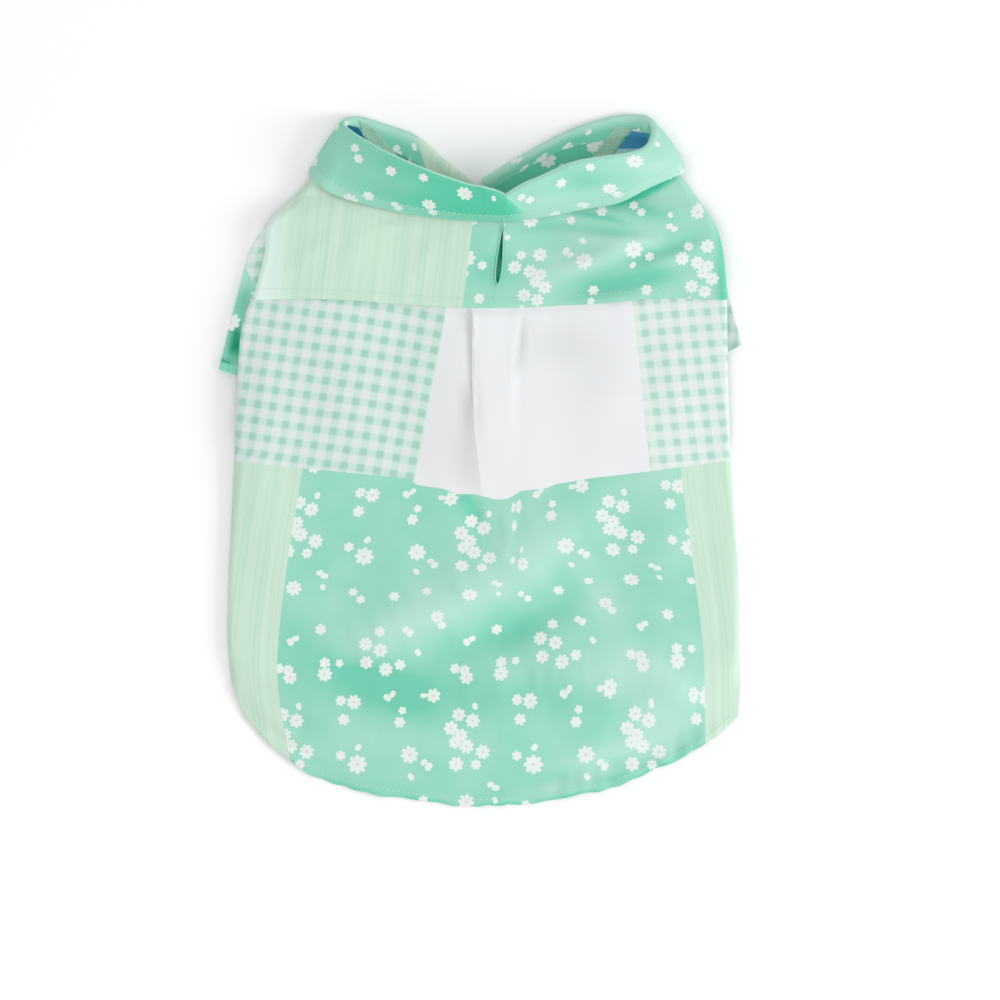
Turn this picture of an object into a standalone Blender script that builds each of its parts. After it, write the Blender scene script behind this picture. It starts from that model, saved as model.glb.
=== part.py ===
"""Dog shirt, laid flat on its belly side with the back up.

The shirt is built from the pieces that are cut and sewn: a back yoke with a
leash slit, a back panel with a box pleat, two lapped fronts, two short
sleeves, a folded collar and two neck tapes. Every piece is a cloth wall.
X runs across the back, Y from the tail to the head, Z up from the table.
All tables are in millimetres; meshes are in metres.
"""
import math
from collections import namedtuple

import bmesh
import bpy
from mathutils import Vector

MM = 0.001
WALL = 1.2              # cloth with its doubled seams, as one wall
SEAM = 1.2              # gap between the collar and the neck edge at their seam
SIDE_SEAM = 0.8         # gap between the back and a front at the side seam
LAYER = 0.35            # gap between two layers that lie on each other
MIDDLE = (-1.25, 0.0)   # middle of the laid garment's box in the tables' frame

# ---------------------------------------------------------------- outlines
# Plan outlines, each a short line of points (x, y) that a smooth curve joins.
YOKE_SEAM = [(-114.6, 81), (-76, 80), (-18, 76.3), (9, 75.8), (59, 78), (89, 80.6), (122.3, 80)]
YOKE_LEFT = [(-114.6, 81), (-108.8, 103), (-107.3, 117), (-96.5, 129.5), (-85.5, 140),
             (-75, 152)]
YOKE_RIGHT = [(122.3, 80), (120.3, 102), (116.3, 117), (108.5, 129), (100.5, 139.5),
              (92, 149.5)]
BACK_TOP = [(-121.3, 79.6), (-76, 79.6), (-18, 75.9), (9, 75.4), (59, 77.6), (89, 80.2), (122, 79.6)]
BACK_LEFT = [(-121.3, 79.6), (-122.8, 42), (-124.8, 12), (-126.9, -30), (-128.8, -78),
             (-126.6, -107), (-119.5, -128)]
BACK_RIGHT = [(122, 79.6), (122.8, 35), (124.3, -10), (127.4, -55), (128, -95), (127.8, -128)]
BACK_HEM = [(-119.5, -128), (-104, -144.5), (-79, -160), (-49, -167.6), (4, -173),
            (57, -167.5), (92.5, -152.6), (117.5, -137.6), (127.8, -128)]
ARMHOLE_LEFT = [(-108, 86), (-101, 98), (-101, 109)]
ARMHOLE_RIGHT = [(111, 86), (107, 97), (107, 108)]
BELLY_HEM = [(95, -76), (50, -54), (15, -43)]
BELLY_CORNER, UNDERARM, SHOULDER = -90, 62, 121
BELLY_START, BELLY_CHEST, THROAT = -41, 40, 124   # the fronts' middle edge, from hem to neck
LAP = 9.0               # each front passes the middle by this much
LAP_GAP = 0.8           # and lies this far above the other one
LAP_START, LAP_RAMP = 6.0, 5.0       # the upper front climbs over the lower one's edge

# -------------------------------------------------------- collar's sections
# One row for each section, from the throat end on the left round the nape to
# the throat end on the right: the fold (roll), the neck seam and the leaf's edge.
Section = namedtuple("Section", "roll neck edge")
COLLAR = [
    Section((0, 139, 2.7), (-3.5, 131.5, 4.8), (-12, 115, 0.65)),
    Section((-17, 151, 2.4), (-20.5, 143.5, 3.8), (-30, 127, 0.65)),
    Section((-33.3, 161.8, 2.4), (-36.5, 154, 3.8), (-46, 138, 0.65)),
    Section((-49.8, 167.8, 2.4), (-51, 160.3, 3.9), (-62, 143.5, 0.65)),
    Section((-60, 171, 2.8), (-59.5, 164.6, 4.4), (-74, 149, 0.7)),
    Section((-66.8, 170.4, 5.5), (-65, 165, 5.8), (-83, 147.5, 1.6)),
    Section((-68.8, 167.2, 9.5), (-66.6, 161.7, 8.6), (-88.6, 142.8, 4.4)),
    Section((-64.8, 163.4, 14), (-62, 157.5, 12), (-83.6, 137.2, 10.9)),
    Section((-58.9, 159.3, 18), (-56, 153.8, 14.5), (-73, 132, 10.8)),
    Section((-49.8, 153.8, 21.5), (-47, 148.3, 16.3), (-60, 127.8, 10.8)),
    Section((-33.3, 146, 25), (-31, 140.8, 18), (-40.5, 123.4, 11)),
    Section((-13, 138.4, 26), (-12, 133.2, 18.5), (-17, 120.2, 11.3)),
    Section((6, 133.5, 25), (6, 128.8, 18), (5, 119, 11.5)),
    Section((24.3, 138.4, 26), (23, 133, 18.5), (28, 120.8, 11.4)),
    Section((43.8, 146.8, 27), (41.5, 141.3, 18.8), (50, 125, 11.5)),
    Section((60.3, 150.2, 25.5), (57, 145, 18), (68, 128.3, 12)),
    Section((72, 152, 22.5), (68, 146.8, 16.5), (83, 134, 13.5)),
    Section((80, 155, 19), (76, 149.5, 13.5), (94.5, 140.5, 13.5)),
    Section((84, 160, 15.5), (80.5, 154.3, 10.5), (100.6, 146.5, 11.5)),
    Section((85, 166, 11), (82.3, 159.4, 7.8), (101.2, 151, 7)),
    Section((82, 171, 6.5), (79.5, 163.4, 5.3), (94, 154, 2.2)),
    Section((75, 172.4, 3.0), (73.5, 164.8, 4.2), (84, 150, 0.7)),
    Section((62, 170.6, 2.4), (60.5, 162.8, 3.9), (70.5, 147, 0.65)),
    Section((43.8, 164.8, 2.4), (41, 157.2, 3.8), (54.5, 140.5, 0.65)),
    Section((22, 153.5, 2.4), (19.5, 146, 3.8), (33, 129.5, 0.65)),
    Section((4.5, 144, 2.4), (4, 136, 3.4), (15, 119.5, 0.65)),
]
NAPE_FIRST, NAPE_LAST = 6, 19    # the sections that the yoke's neck edge follows
FOLD_REACH = 2.0                 # how far the roll's round reaches past its middle
FOLD_HALF = 1.7                  # half the distance between stand and leaf at the roll
LEAF_BULGE = 1.4                 # the leaf's crown between roll and edge

# ----------------------------------------------------------------- sleeves
# One row for each section of a flattened sleeve: its outer and its inner fold.
Cut = namedtuple("Cut", "outer_x outer_y inner_x inner_y")
SLEEVE_LEFT = [
    Cut(-109.5, 115.5, -76, 107),
    Cut(-115.8, 105, -71, 94),
    Cut(-118.8, 96, -69, 82),
    Cut(-122.4, 82.5, -69, 67),
    Cut(-126.9, 65, -71, 50),
    Cut(-131.8, 46.5, -77, 28),
]
SLEEVE_RIGHT = [
    Cut(111, 113, 78, 104),
    Cut(117.5, 103, 73, 92),
    Cut(120.3, 94, 71, 80),
    Cut(123.2, 81, 71, 66),
    Cut(126.3, 69, 74, 50),
    Cut(129.3, 57.5, 79, 31),
]
SLEEVE_HEIGHT = 3.2

# ------------------------------------------------------------ levels, folds
BODY_LEVEL = 5.2        # top of the back over the belly
YOKE_START = 70         # from here
YOKE_RISE = 0.035       # the yoke climbs this much for each mm towards the neck
SLEEVE_LIFT = 3.7       # what lies on a sleeve is this high
LEAF_LIFT = 1.75        # what lies on the collar's lower leaf is this high
TOP_SHARE = 0.85        # the share of either lift that still shows on the back
NECK_REACH = 5.5        # how far the standing neck edge lifts the yoke
NECK_FALL = 1.15        # and how fast that ends
FRONT_REACH = 8.0       # and the fronts from theirs

# The lower leaf lifts what lies within a V: its tip, its slope to each side and where that ends.
LEAF_TIP_X, LEAF_TIP_Y, LEAF_SLOPE, LEAF_END = 2, 98, 0.55, 62
LEAF_RAMP = 9
# The sleeves lift a band at each side, between these distances from the middle and the hem.
SLEEVE_INNER, SLEEVE_RAMP = 46, 10
SLEEVE_LOW, SLEEVE_LOW_RAMP, SLEEVE_HIGH, SLEEVE_HIGH_RAMP = 0, 16, 122, 12

Fold = namedtuple("Fold", "x0 y0 x1 y1 x2 y2 half_width height")
FOLDS = [
    Fold(-100, -90, -45, -118, 70, -124, 15, -1.2),
    Fold(-30, -99, 15, -88, 60, -58, 12, -1.1),
    Fold(-70, -92, -10, -72, 48, -26, 16, 3.0),
    Fold(20, -112, 70, -100, 112, -118, 17, 2.8),
    Fold(-92, -128, -40, -140, 20, -140, 15, 1.6),
    Fold(-105, 40, -112, -10, -108, -60, 14, 1.6),
    Fold(82, 40, 92, -10, 98, -60, 16, 1.8),
    Fold(28, 88, 52, 96, 76, 110, 8, 1.8),
    Fold(70, 84, 92, 92, 112, 104, 9, 1.6),
    Fold(-70, 96, -62, 108, -56, 118, 9, 1.2),
]
FOLD_PARTS, FOLD_START = 12, 0.12    # a fold's curve is read in parts; it starts and ends low

PLEAT_TOP, PLEAT_END = 75.8, -18.0
PLEAT_LEFT, PLEAT_RIGHT = -4.3, 18.0
PLEAT_HEIGHT = 1.5
PLEAT_LIP, PLEAT_LIP_RAMP = 1.2, 1.6         # the left fold: where it starts and how steep it is
PLEAT_SOFT, PLEAT_SOFT_RAMP = 3.0, 6.0       # the same for the soft right one
PLEAT_FADE = 1.3                             # the height is full over all but the last part

SLIT_TOP, SLIT_BOTTOM = (10.6, 120.5), (7.3, 87.0)
SLIT_WIDTH = 2.5
SLIT_TOOL = 40.0        # height of the tool that cuts the slit

# ------------------------------------------------------------- small maths


def smooth_step(value):
    """0 below 0, 1 above 1, and an even slope between."""
    value = min(max(value, 0.0), 1.0)
    return value * value * (3 - 2 * value)


def smooth_line(points, steps=10):
    """A dense line through the points (Catmull-Rom), as vectors of any size."""
    rows = [Vector(p) for p in points]
    rows = [rows[0] * 2 - rows[1]] + rows + [rows[-1] * 2 - rows[-2]]
    line = []
    for a, b, c, d in zip(rows, rows[1:], rows[2:], rows[3:]):
        for k in range(steps):
            u = k / steps
            line.append(0.5 * (b * 2 + (c - a) * u + (a * 2 - b * 5 + c * 4 - d) * u ** 2
                               + (b * 3 - a - c * 3 + d) * u ** 3))
    line.append(rows[-2].copy())
    return line


class Line:
    """A smooth line that is read by the fraction of its length."""

    def __init__(self, points):
        self.points = smooth_line(points)
        self.reach = [0.0]
        for a, b in zip(self.points, self.points[1:]):
            self.reach.append(self.reach[-1] + (b - a).length)
        self.length = self.reach[-1]

    def at(self, fraction):
        goal = min(max(fraction, 0.0), 1.0) * self.length
        for k in range(1, len(self.reach)):
            if goal <= self.reach[k] or k == len(self.reach) - 1:
                span = self.reach[k] - self.reach[k - 1]
                u = (goal - self.reach[k - 1]) / span if span > 1e-9 else 0.0
                return self.points[k - 1].lerp(self.points[k], min(u, 1.0))


class Patch:
    """The plan of a panel between four lines: across s runs 0..1, up t runs 0..1."""

    def __init__(self, bottom, top, left, right):
        self.bottom, self.top = bottom, top
        self.left, self.right = left, right

    def at(self, s, t):
        corners = ((1 - s) * (1 - t) * plan(self.bottom.at(0)) + s * (1 - t) * plan(self.bottom.at(1))
                   + (1 - s) * t * plan(self.top.at(0)) + s * t * plan(self.top.at(1)))
        sides = (1 - s) * plan(self.left.at(t)) + s * plan(self.right.at(t))
        ends = (1 - t) * plan(self.bottom.at(s)) + t * plan(self.top.at(s))
        return sides + ends - corners


def plan(point):
    """A point seen from above."""
    return Vector((point[0], point[1]))


# -------------------------------------------------------- levels of a point


def lift(x, y):
    """Height of what lies under the fronts: the collar's lower leaf and the sleeves."""
    leaf_edge = LEAF_TIP_Y + LEAF_SLOPE * min(abs(x - LEAF_TIP_X), LEAF_END)
    leaf = LEAF_LIFT * smooth_step((y - leaf_edge) / LEAF_RAMP)
    inward = smooth_step((abs(x) - SLEEVE_INNER) / SLEEVE_RAMP)
    low = smooth_step((y - SLEEVE_LOW) / SLEEVE_LOW_RAMP)
    high = 1 - smooth_step((y - SLEEVE_HIGH) / SLEEVE_HIGH_RAMP)
    return max(leaf, SLEEVE_LIFT * inward * low * high)


def fold_height(x, y, folds=FOLDS):
    """Sum of the soft ridges and troughs at a point of the back."""
    total = 0.0
    for fold in folds:
        best, where = math.inf, 0.0
        for k in range(FOLD_PARTS + 1):
            u = k / FOLD_PARTS
            px = (1 - u) ** 2 * fold.x0 + 2 * u * (1 - u) * fold.x1 + u ** 2 * fold.x2
            py = (1 - u) ** 2 * fold.y0 + 2 * u * (1 - u) * fold.y1 + u ** 2 * fold.y2
            away = math.hypot(x - px, y - py)
            if away < best:
                best, where = away, u
        ends = math.sin(math.pi * (FOLD_START + (1 - 2 * FOLD_START) * where))
        total += fold.height * ends * math.exp(-(best / fold.half_width) ** 2)
    return total


def pleat_height(x, y):
    """The box pleat's raised layer, sharp at its left fold, fading towards the tail."""
    if y > PLEAT_TOP + 1:
        return 0.0
    fade = smooth_step((y - PLEAT_END) / (PLEAT_TOP - PLEAT_END) * PLEAT_FADE)
    left = smooth_step((x - PLEAT_LEFT + PLEAT_LIP) / PLEAT_LIP_RAMP)
    right = 1 - smooth_step((x - PLEAT_RIGHT + PLEAT_SOFT) / PLEAT_SOFT_RAMP)
    return PLEAT_HEIGHT * fade * left * right


def top_level(x, y):
    """Top of the back and yoke away from the neck edge and the hem."""
    level = BODY_LEVEL + YOKE_RISE * max(y - YOKE_START, 0) + TOP_SHARE * lift(x, y)
    return level + fold_height(x, y) + pleat_height(x, y)


# ---------------------------------------------------------------- meshes


def grid_object(name, rows, colour, roughness, offset, closed=False, wall=WALL):
    """One cloth wall: a grid of points in millimetres, thickened by Solidify."""
    mesh = bpy.data.meshes.new(name)
    build = bmesh.new()
    shift = Vector((MIDDLE[0], MIDDLE[1], 0))
    verts = [[build.verts.new((Vector(p) - shift) * MM) for p in row] for row in rows]
    count = len(rows[0])
    for lower, upper in zip(verts, verts[1:]):
        for k in range(count if closed else count - 1):
            n = (k + 1) % count
            build.faces.new((lower[k], lower[n], upper[n], upper[k]))
    bmesh.ops.triangulate(build, faces=build.faces[:])
    build.to_mesh(mesh)
    build.free()
    piece = bpy.data.objects.new(name, mesh)
    bpy.context.scene.collection.objects.link(piece)
    solid = piece.modifiers.new("cloth", "SOLIDIFY")
    solid.thickness = wall * MM
    solid.offset = offset
    solid.use_even_offset = False
    piece.data.materials.append(cloth(name, colour, roughness))
    return piece


def cloth(name, colour, roughness):
    """A plain cloth material with the piece's main colour."""
    material = bpy.data.materials.new(name + "_cloth")
    material.use_nodes = True
    shader = material.node_tree.nodes["Principled BSDF"]
    shader.inputs["Base Color"].default_value = (*colour, 1)
    shader.inputs["Roughness"].default_value = roughness
    shader.inputs["Metallic"].default_value = 0
    return material


GREEN = (0.35, 0.70, 0.54)
MINT = (0.60, 0.79, 0.67)
BLUE = (0.05, 0.20, 0.30)
ROUGH = 0.85

# ------------------------------------------------------------------ panels
EDGE_ANGLES = (150, 142, 116, 88, 58, 28)    # the back's side rolls from the seam to the top
SIDE_BLEND = 12.0                    # how far a side's level reaches into its panel
UNROLLED = 0.04                      # the least bend, where a side lies flat
UNROLL_LENGTH = 30.0                 # the side unrolls over this length behind the belly corner
EAR_REACH, EAR_FALL = 10.0, 1.3      # how far the collar's corner lifts the shoulder, how fast it ends
EAR_THICK = 3.6                      # the shoulder's thickness at that corner


def edge_levels(x, y):
    """Lowest and highest level of the rounded side at a point of the outline."""
    corner = COLLAR[NAPE_FIRST if x < 0 else NAPE_LAST].neck
    near = math.exp(-(math.hypot(x - corner[0], y - corner[1]) / EAR_REACH) ** EAR_FALL)
    low, high = lift(x, y), top_level(x, y)
    high += (corner[2] - high) * near
    low += (corner[2] - EAR_THICK - low) * near
    return low, high


def inward_of(patch, s, t):
    """The plan direction square to a side of the patch, into the panel."""
    along = patch.at(s, min(t + 0.02, 1)) - patch.at(s, max(t - 0.02, 0))
    square = Vector((along.y, -along.x)).normalized()
    middle = patch.at(0.5, t) - patch.at(s, t)
    return square if square.dot(middle) > 0 else -square


def rolled_side(patch, s, t, levels, wrap):
    """The side of one row, from the seam inward, and the width that it takes.

    Angle 0 is the top of the round side, 90 its outermost line, 180 its underside.
    As wrap falls from 1 the same length of cloth unrolls until it lies flat.
    """
    edge = patch.at(s, t)
    along_row = (patch.at(0.05 if s == 0 else 0.95, t) - edge).normalized()
    inward = (inward_of(patch, s, t) * wrap + along_row * (1 - wrap)).normalized()
    low, high = levels
    bend = max(wrap, UNROLLED)
    radius = (high - low) / 2 / bend
    reach = radius * math.sin(math.radians(min(90, EDGE_ANGLES[0] * bend)))
    points = []
    for angle in EDGE_ANGLES:
        turn = math.radians(angle * bend)
        inset = reach - radius * math.sin(turn)
        level = high - radius * (1 - math.cos(turn))
        points.append(Vector((edge.x + inward.x * inset, edge.y + inward.y * inset, level)))
    return points, reach


def back_row(patch, t, across, top_of, levels_of, wrap_of):
    """One row of the yoke or the back: both sides roll over, the middle follows top_of."""
    left, right = patch.at(0, t), patch.at(1, t)
    width = (right - left).length
    left_levels, right_levels = levels_of(left, t), levels_of(right, t)
    left_side, left_inset = rolled_side(patch, 0, t, left_levels, wrap_of(left.y))
    right_side, right_inset = rolled_side(patch, 1, t, right_levels, wrap_of(right.y))
    left_extra = left_levels[1] - top_of(left.x, left.y, 0, t)
    right_extra = right_levels[1] - top_of(right.x, right.y, 1, t)
    row = left_side
    left_square = left + inward_of(patch, 0, t) * left_inset - patch.at(left_inset / width, t)
    right_square = right + inward_of(patch, 1, t) * right_inset - patch.at(1 - right_inset / width, t)
    for share in across:
        s = (left_inset + (width - left_inset - right_inset) * share) / width
        spot = patch.at(s, t)
        spot += left_square * wrap_of(left.y) * math.exp(-(s * width - left_inset) / SIDE_BLEND)
        spot += right_square * wrap_of(right.y) * math.exp(
            -((1 - s) * width - right_inset) / SIDE_BLEND)
        level = top_of(spot.x, spot.y, s, t)
        level += left_extra * math.exp(-max(s * width - left_inset, 0) / SIDE_BLEND)
        level += right_extra * math.exp(-max((1 - s) * width - right_inset, 0) / SIDE_BLEND)
        row.append(Vector((spot.x, spot.y, level)))
    return row + right_side[::-1]


def section_axes(rows, k):
    """Out past the roll, and from the stand to the leaf, at row k of the collar."""
    roll, neck, edge = rows[k]
    before, after = rows[max(k - 1, 0)].roll, rows[min(k + 1, len(rows) - 1)].roll
    out = (Vector(roll) - (Vector(neck) + Vector(edge)) / 2).normalized()
    apart = (Vector(after) - Vector(before)).cross(out).normalized()
    return out, apart


def neck_edge(first, last):
    """The body's neck edge: the collar's neck seam, moved down its stand by the seam's gap."""
    points = []
    for k in range(first, last + 1):
        roll, neck = Vector(COLLAR[k].roll), Vector(COLLAR[k].neck)
        along = (neck - roll).normalized()
        outside = section_axes(COLLAR, k)[1]
        outside = (outside - along * outside.dot(along)).normalized()
        points.append(neck + along * SEAM + outside * WALL / 2)
    return points


YOKE_ROWS = (0, 0.14, 0.28, 0.42, 0.55, 0.66, 0.75, 0.83, 0.9, 0.955, 1)
YOKE_COLUMNS, YOKE_EAR_COLUMN = 20, 0.975    # one more column where the right ear bends sharply


def yoke():
    """The back yoke, from the seam on the back panel up to the standing neck edge."""
    neck = Line(neck_edge(NAPE_FIRST, NAPE_LAST))
    left, right = neck.at(0), neck.at(1)
    patch = Patch(Line(YOKE_SEAM), neck, Line(YOKE_LEFT + [(left.x, left.y)]),
                  Line(YOKE_RIGHT + [(right.x, right.y)]))
    seam_to_neck = (neck.at(0.5) - Vector((0, YOKE_SEAM[3][1], 0))).y

    def top_of(x, y, s, t):
        near = math.exp(-((1 - t) * seam_to_neck / NECK_REACH) ** NECK_FALL)
        level = top_level(x, y)
        return level + (neck.at(s).z - level) * near

    across = sorted([k / YOKE_COLUMNS for k in range(YOKE_COLUMNS + 1)] + [YOKE_EAR_COLUMN])
    rows = [back_row(patch, t, across, top_of, lambda edge, t: edge_levels(edge.x, edge.y),
                     lambda y: 1.0)
            for t in YOKE_ROWS]
    piece = grid_object("yoke", rows, MINT, ROUGH, -1)
    cut = piece.modifiers.new("leash_slit", "BOOLEAN")
    cut.operation = "DIFFERENCE"
    cut.object = slit_cutter()
    return side_seams(rows)


def side_seams(rows):
    """The two rolled-under edges of the yoke or the back, from the tail to the head."""
    ordered = sorted(rows, key=lambda row: row[0].y)
    return [row[0] for row in ordered], [row[-1] for row in ordered]


def slit_cutter():
    """A tall lens that cuts the leash slit."""
    low, high = Vector((*SLIT_BOTTOM, 0)), Vector((*SLIT_TOP, 0))
    side = Vector((high.y - low.y, low.x - high.x, 0)).normalized() * SLIT_WIDTH / 2
    places = [k / 8 for k in range(9)]
    widths = [math.sin(math.pi * u ** 0.75) for u in places]
    outline = [low.lerp(high, u) + side * w for u, w in zip(places, widths)]
    outline += [low.lerp(high, u) - side * w for u, w in zip(places[-2:0:-1], widths[-2:0:-1])]
    mesh = bpy.data.meshes.new("slit_cutter")
    build = bmesh.new()
    shift = Vector((MIDDLE[0], MIDDLE[1], 0))
    face = build.faces.new([build.verts.new((p - shift) * MM) for p in outline])
    moved = bmesh.ops.extrude_face_region(build, geom=[face])["geom"]
    for vert in [item for item in moved if isinstance(item, bmesh.types.BMVert)]:
        vert.co.z += SLIT_TOOL * MM
    bmesh.ops.recalc_face_normals(build, faces=build.faces[:])
    build.to_mesh(mesh)
    build.free()
    cutter = bpy.data.objects.new("slit_cutter", mesh)
    bpy.context.scene.collection.objects.link(cutter)
    cutter.hide_render = True
    cutter.display_type = "WIRE"
    return cutter


# The back sinks to the table towards its tail: the share of its height left at t.
Level = namedtuple("Level", "t share")
TAIL_FALL = [Level(0, 1), Level(0.84, 1), Level(0.9, 0.65), Level(0.95, 0.25), Level(1, 0)]
TAIL_GROUND = WALL + 0.05            # the tail's top, where it lies on the table
BACK_ROWS = (0, 0.035, 0.09, 0.15, 0.21, 0.27, 0.33, 0.39, 0.45, 0.5, 0.55, 0.6, 0.65,
             0.7, 0.75, 0.79, 0.825, 0.855, 0.885, 0.915, 0.945, 0.972, 1)
BACK_COLUMNS, COLUMN_GAP = 21, 0.008         # even columns, and the least space beside the pleat's


def read(table, t):
    """The share in a table of levels at t, straight between its rows."""
    for a, b in zip(table, table[1:]):
        if t <= b.t:
            return a.share + (b.share - a.share) * (t - a.t) / (b.t - a.t)
    return table[-1].share


def back_panel():
    """The back from the yoke seam to the rounded tail hem, with its pleat and folds."""
    patch = Patch(Line(BACK_TOP), Line(BACK_HEM), Line(BACK_LEFT), Line(BACK_RIGHT))

    def top_of(x, y, s, t):
        return TAIL_GROUND + (top_level(x, y) - TAIL_GROUND) * read(TAIL_FALL, t)

    def levels_of(edge, t):
        low, high = edge_levels(edge.x, edge.y)
        share = read(TAIL_FALL, t)
        return low * share, TAIL_GROUND + (high - TAIL_GROUND) * share

    def wrap_of(y):
        return 1 - smooth_step((BELLY_CORNER - y) / UNROLL_LENGTH)

    spots = [k / BACK_COLUMNS for k in range(BACK_COLUMNS + 1)]
    for x in (PLEAT_LEFT - PLEAT_LIP, PLEAT_LEFT - PLEAT_LIP + PLEAT_LIP_RAMP,
              PLEAT_RIGHT - PLEAT_SOFT, PLEAT_RIGHT - PLEAT_SOFT + PLEAT_SOFT_RAMP):
        spot = (x - BACK_TOP[0][0]) / (BACK_TOP[-1][0] - BACK_TOP[0][0])
        spots = [s for s in spots if abs(s - spot) > COLUMN_GAP] + [spot]
    rows = [back_row(patch, t, sorted(spots), top_of, levels_of, wrap_of) for t in BACK_ROWS]
    seams = side_seams(rows)
    for row in rows:
        row.reverse()
    grid_object("back_panel", rows, GREEN, ROUGH, -1)
    return seams


LAP_STEPS = (25.0, 19.4, 9.6, 0.0)   # a front's last columns, measured from its middle edge
FRONT_COLUMNS = 9                    # the even ones before them
FRONT_ROWS = (0, 0.08, 0.16, 0.25, 0.34, 0.42, 0.5, 0.56, 0.62, 0.68, 0.74, 0.785, 0.83, 0.87,
              0.91, 0.945, 0.975, 1)


def front(name, side, back_seam, yoke_seam, armhole, over):
    """A belly front: flat on the table, over the sleeve and the collar's lower leaf.

    Its outline is the rolled-under edge of the back and the yoke, with the armhole between.
    """
    throat = neck_edge(0, NAPE_FIRST)[::-1] if side < 0 else neck_edge(NAPE_LAST, len(COLLAR) - 1)
    middle_edge = -side * LAP
    neck = Line(throat + [Vector((middle_edge, THROAT, LEAF_LIFT + over * (WALL + LAP_GAP)))])
    belly = [p for p in back_seam if BELLY_CORNER < p.y < UNDERARM]
    upper = [p for p in yoke_seam if SHOULDER < p.y]
    outline = Line(belly + [Vector((x, y, SLEEVE_LIFT)) for x, y in armhole] + upper)
    hem = Line([plan(belly[0])] + [(side * x, y) for x, y in BELLY_HEM]
               + [(middle_edge, BELLY_START)])
    middle = Line([(middle_edge, y) for y in (BELLY_START, BELLY_CHEST, neck.at(1).y)])
    patch = Patch(hem, neck, outline, middle)

    def low_of(x, y, s, t):
        level = lift(x, y)
        if over:
            level += (WALL + LAP_GAP) * smooth_step((x + LAP + LAP_START) / LAP_RAMP)
        near = math.exp(-(1 - t) * outline.length / FRONT_REACH)
        return level + (neck.at(s).z - level) * near

    rows = []
    for t in FRONT_ROWS:
        edge = patch.at(0, t)
        width = (patch.at(1, t) - edge).length
        inset = WALL / 2 + SIDE_SEAM
        square = edge + inward_of(patch, 0, t) * inset - patch.at(inset / width, t)
        row = []
        extra = outline.at(t).z - low_of(edge.x, edge.y, 0, t)
        reach = width - LAP_STEPS[0] - inset
        places = [inset + reach * k / FRONT_COLUMNS for k in range(FRONT_COLUMNS)]
        places += [width - step for step in LAP_STEPS]
        for place in places:
            near_side = math.exp(-(place - inset) / SIDE_BLEND)
            spot = patch.at(place / width, t) + square * near_side
            level = low_of(spot.x, spot.y, place / width, t) + extra * near_side
            row.append(Vector((spot.x, spot.y, level)))
        rows.append(row)
    if side < 0:
        for row in rows:
            row.reverse()
    return grid_object(name, rows, GREEN, ROUGH, -1)


SLEEVE_PARTS, ROUND_PARTS = 7, 5     # rings along a sleeve, and parts of each rounded fold
SLEEVE_FLAT = (0.3, 0.6)             # points on its flat sides, as shares of their width


def sleeve(name, table):
    """A short sleeve pressed flat: a tube with two round folds, open at both ends."""
    outer = Line([(cut.outer_x, cut.outer_y) for cut in table])
    inner = Line([(cut.inner_x, cut.inner_y) for cut in table])
    radius = SLEEVE_HEIGHT / 2
    rows = []
    for k in range(SLEEVE_PARTS + 1):
        a, b = outer.at(k / SLEEVE_PARTS), inner.at(k / SLEEVE_PARTS)
        into = (b - a).normalized()
        ring = []
        for fold, far, sign, start in ((a, b, 1, 90), (b, a, -1, 270)):
            middle = fold + into * radius * sign
            for part in range(ROUND_PARTS + 1):
                angle = math.radians(start + 180 * part / ROUND_PARTS)
                spot = middle + into * math.cos(angle) * radius
                ring.append(Vector((spot.x, spot.y, radius + radius * math.sin(angle))))
            for share in SLEEVE_FLAT:
                spot = middle.lerp(far - into * radius * sign, share)
                ring.append(Vector((spot.x, spot.y, 0 if sign > 0 else SLEEVE_HEIGHT)))
        rows.append(ring)
    if table[0].outer_x > 0:
        for row in rows:
            row.reverse()
    return grid_object(name, rows, GREEN, ROUGH, -1, closed=True)


ROLL_ANGLES = (-90, -45, 0, 45, 90)  # round the roll, from the stand to the leaf
LEAF_SHARES = (0.3, 0.62, 1.0)       # points down the leaf
FLAT_ROLL, CROWN_RAMP = 3.0, 8.0     # the leaf has its crown where the roll stands up


def collar_path(rows, k):
    """One section's middle line: up the stand, round the roll, down the leaf."""
    roll, neck, edge = (Vector(p) for p in rows[k])
    out, apart = section_axes(rows, k)
    middle = roll - out * FOLD_REACH
    path = [neck, neck.lerp(middle - apart * FOLD_HALF, 0.5)]
    for angle in ROLL_ANGLES:
        turn = math.radians(angle)
        path.append(middle + out * FOLD_REACH * math.cos(turn) + apart * FOLD_HALF * math.sin(turn))
    crown = LEAF_BULGE * min(1.0, max(0.0, (roll.z - FLAT_ROLL) / CROWN_RAMP))
    start = path[-1]
    for u in LEAF_SHARES:
        path.append(start.lerp(edge, u) + apart * crown * math.sin(math.pi * u))
    return path


def collar():
    """The one-piece collar, folded along its roll, with its two ends at the throat."""
    dense = smooth_rows([section.roll + section.neck + section.edge for section in COLLAR])
    sections = [Section(row[0:3], row[3:6], row[6:9]) for row in dense]
    rows = [collar_path(sections, k) for k in range(len(sections))]
    grid_object("collar", rows, GREEN, ROUGH, 0)


def smooth_rows(table, steps=2):
    """Catmull-Rom rows between the sections of a table, column by column."""
    rows = [table[0]] + list(table) + [table[-1]]
    dense = []
    for a, b, c, d in zip(rows, rows[1:], rows[2:], rows[3:]):
        for k in range(steps):
            u = k / steps
            dense.append(tuple(
                0.5 * (2 * q + (r - p) * u + (2 * p - 5 * q + 4 * r - w) * u ** 2
                       + (3 * q - p - 3 * r + w) * u ** 3)
                for p, q, r, w in zip(a, b, c, d)))
    dense.append(table[-1])
    return dense


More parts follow.
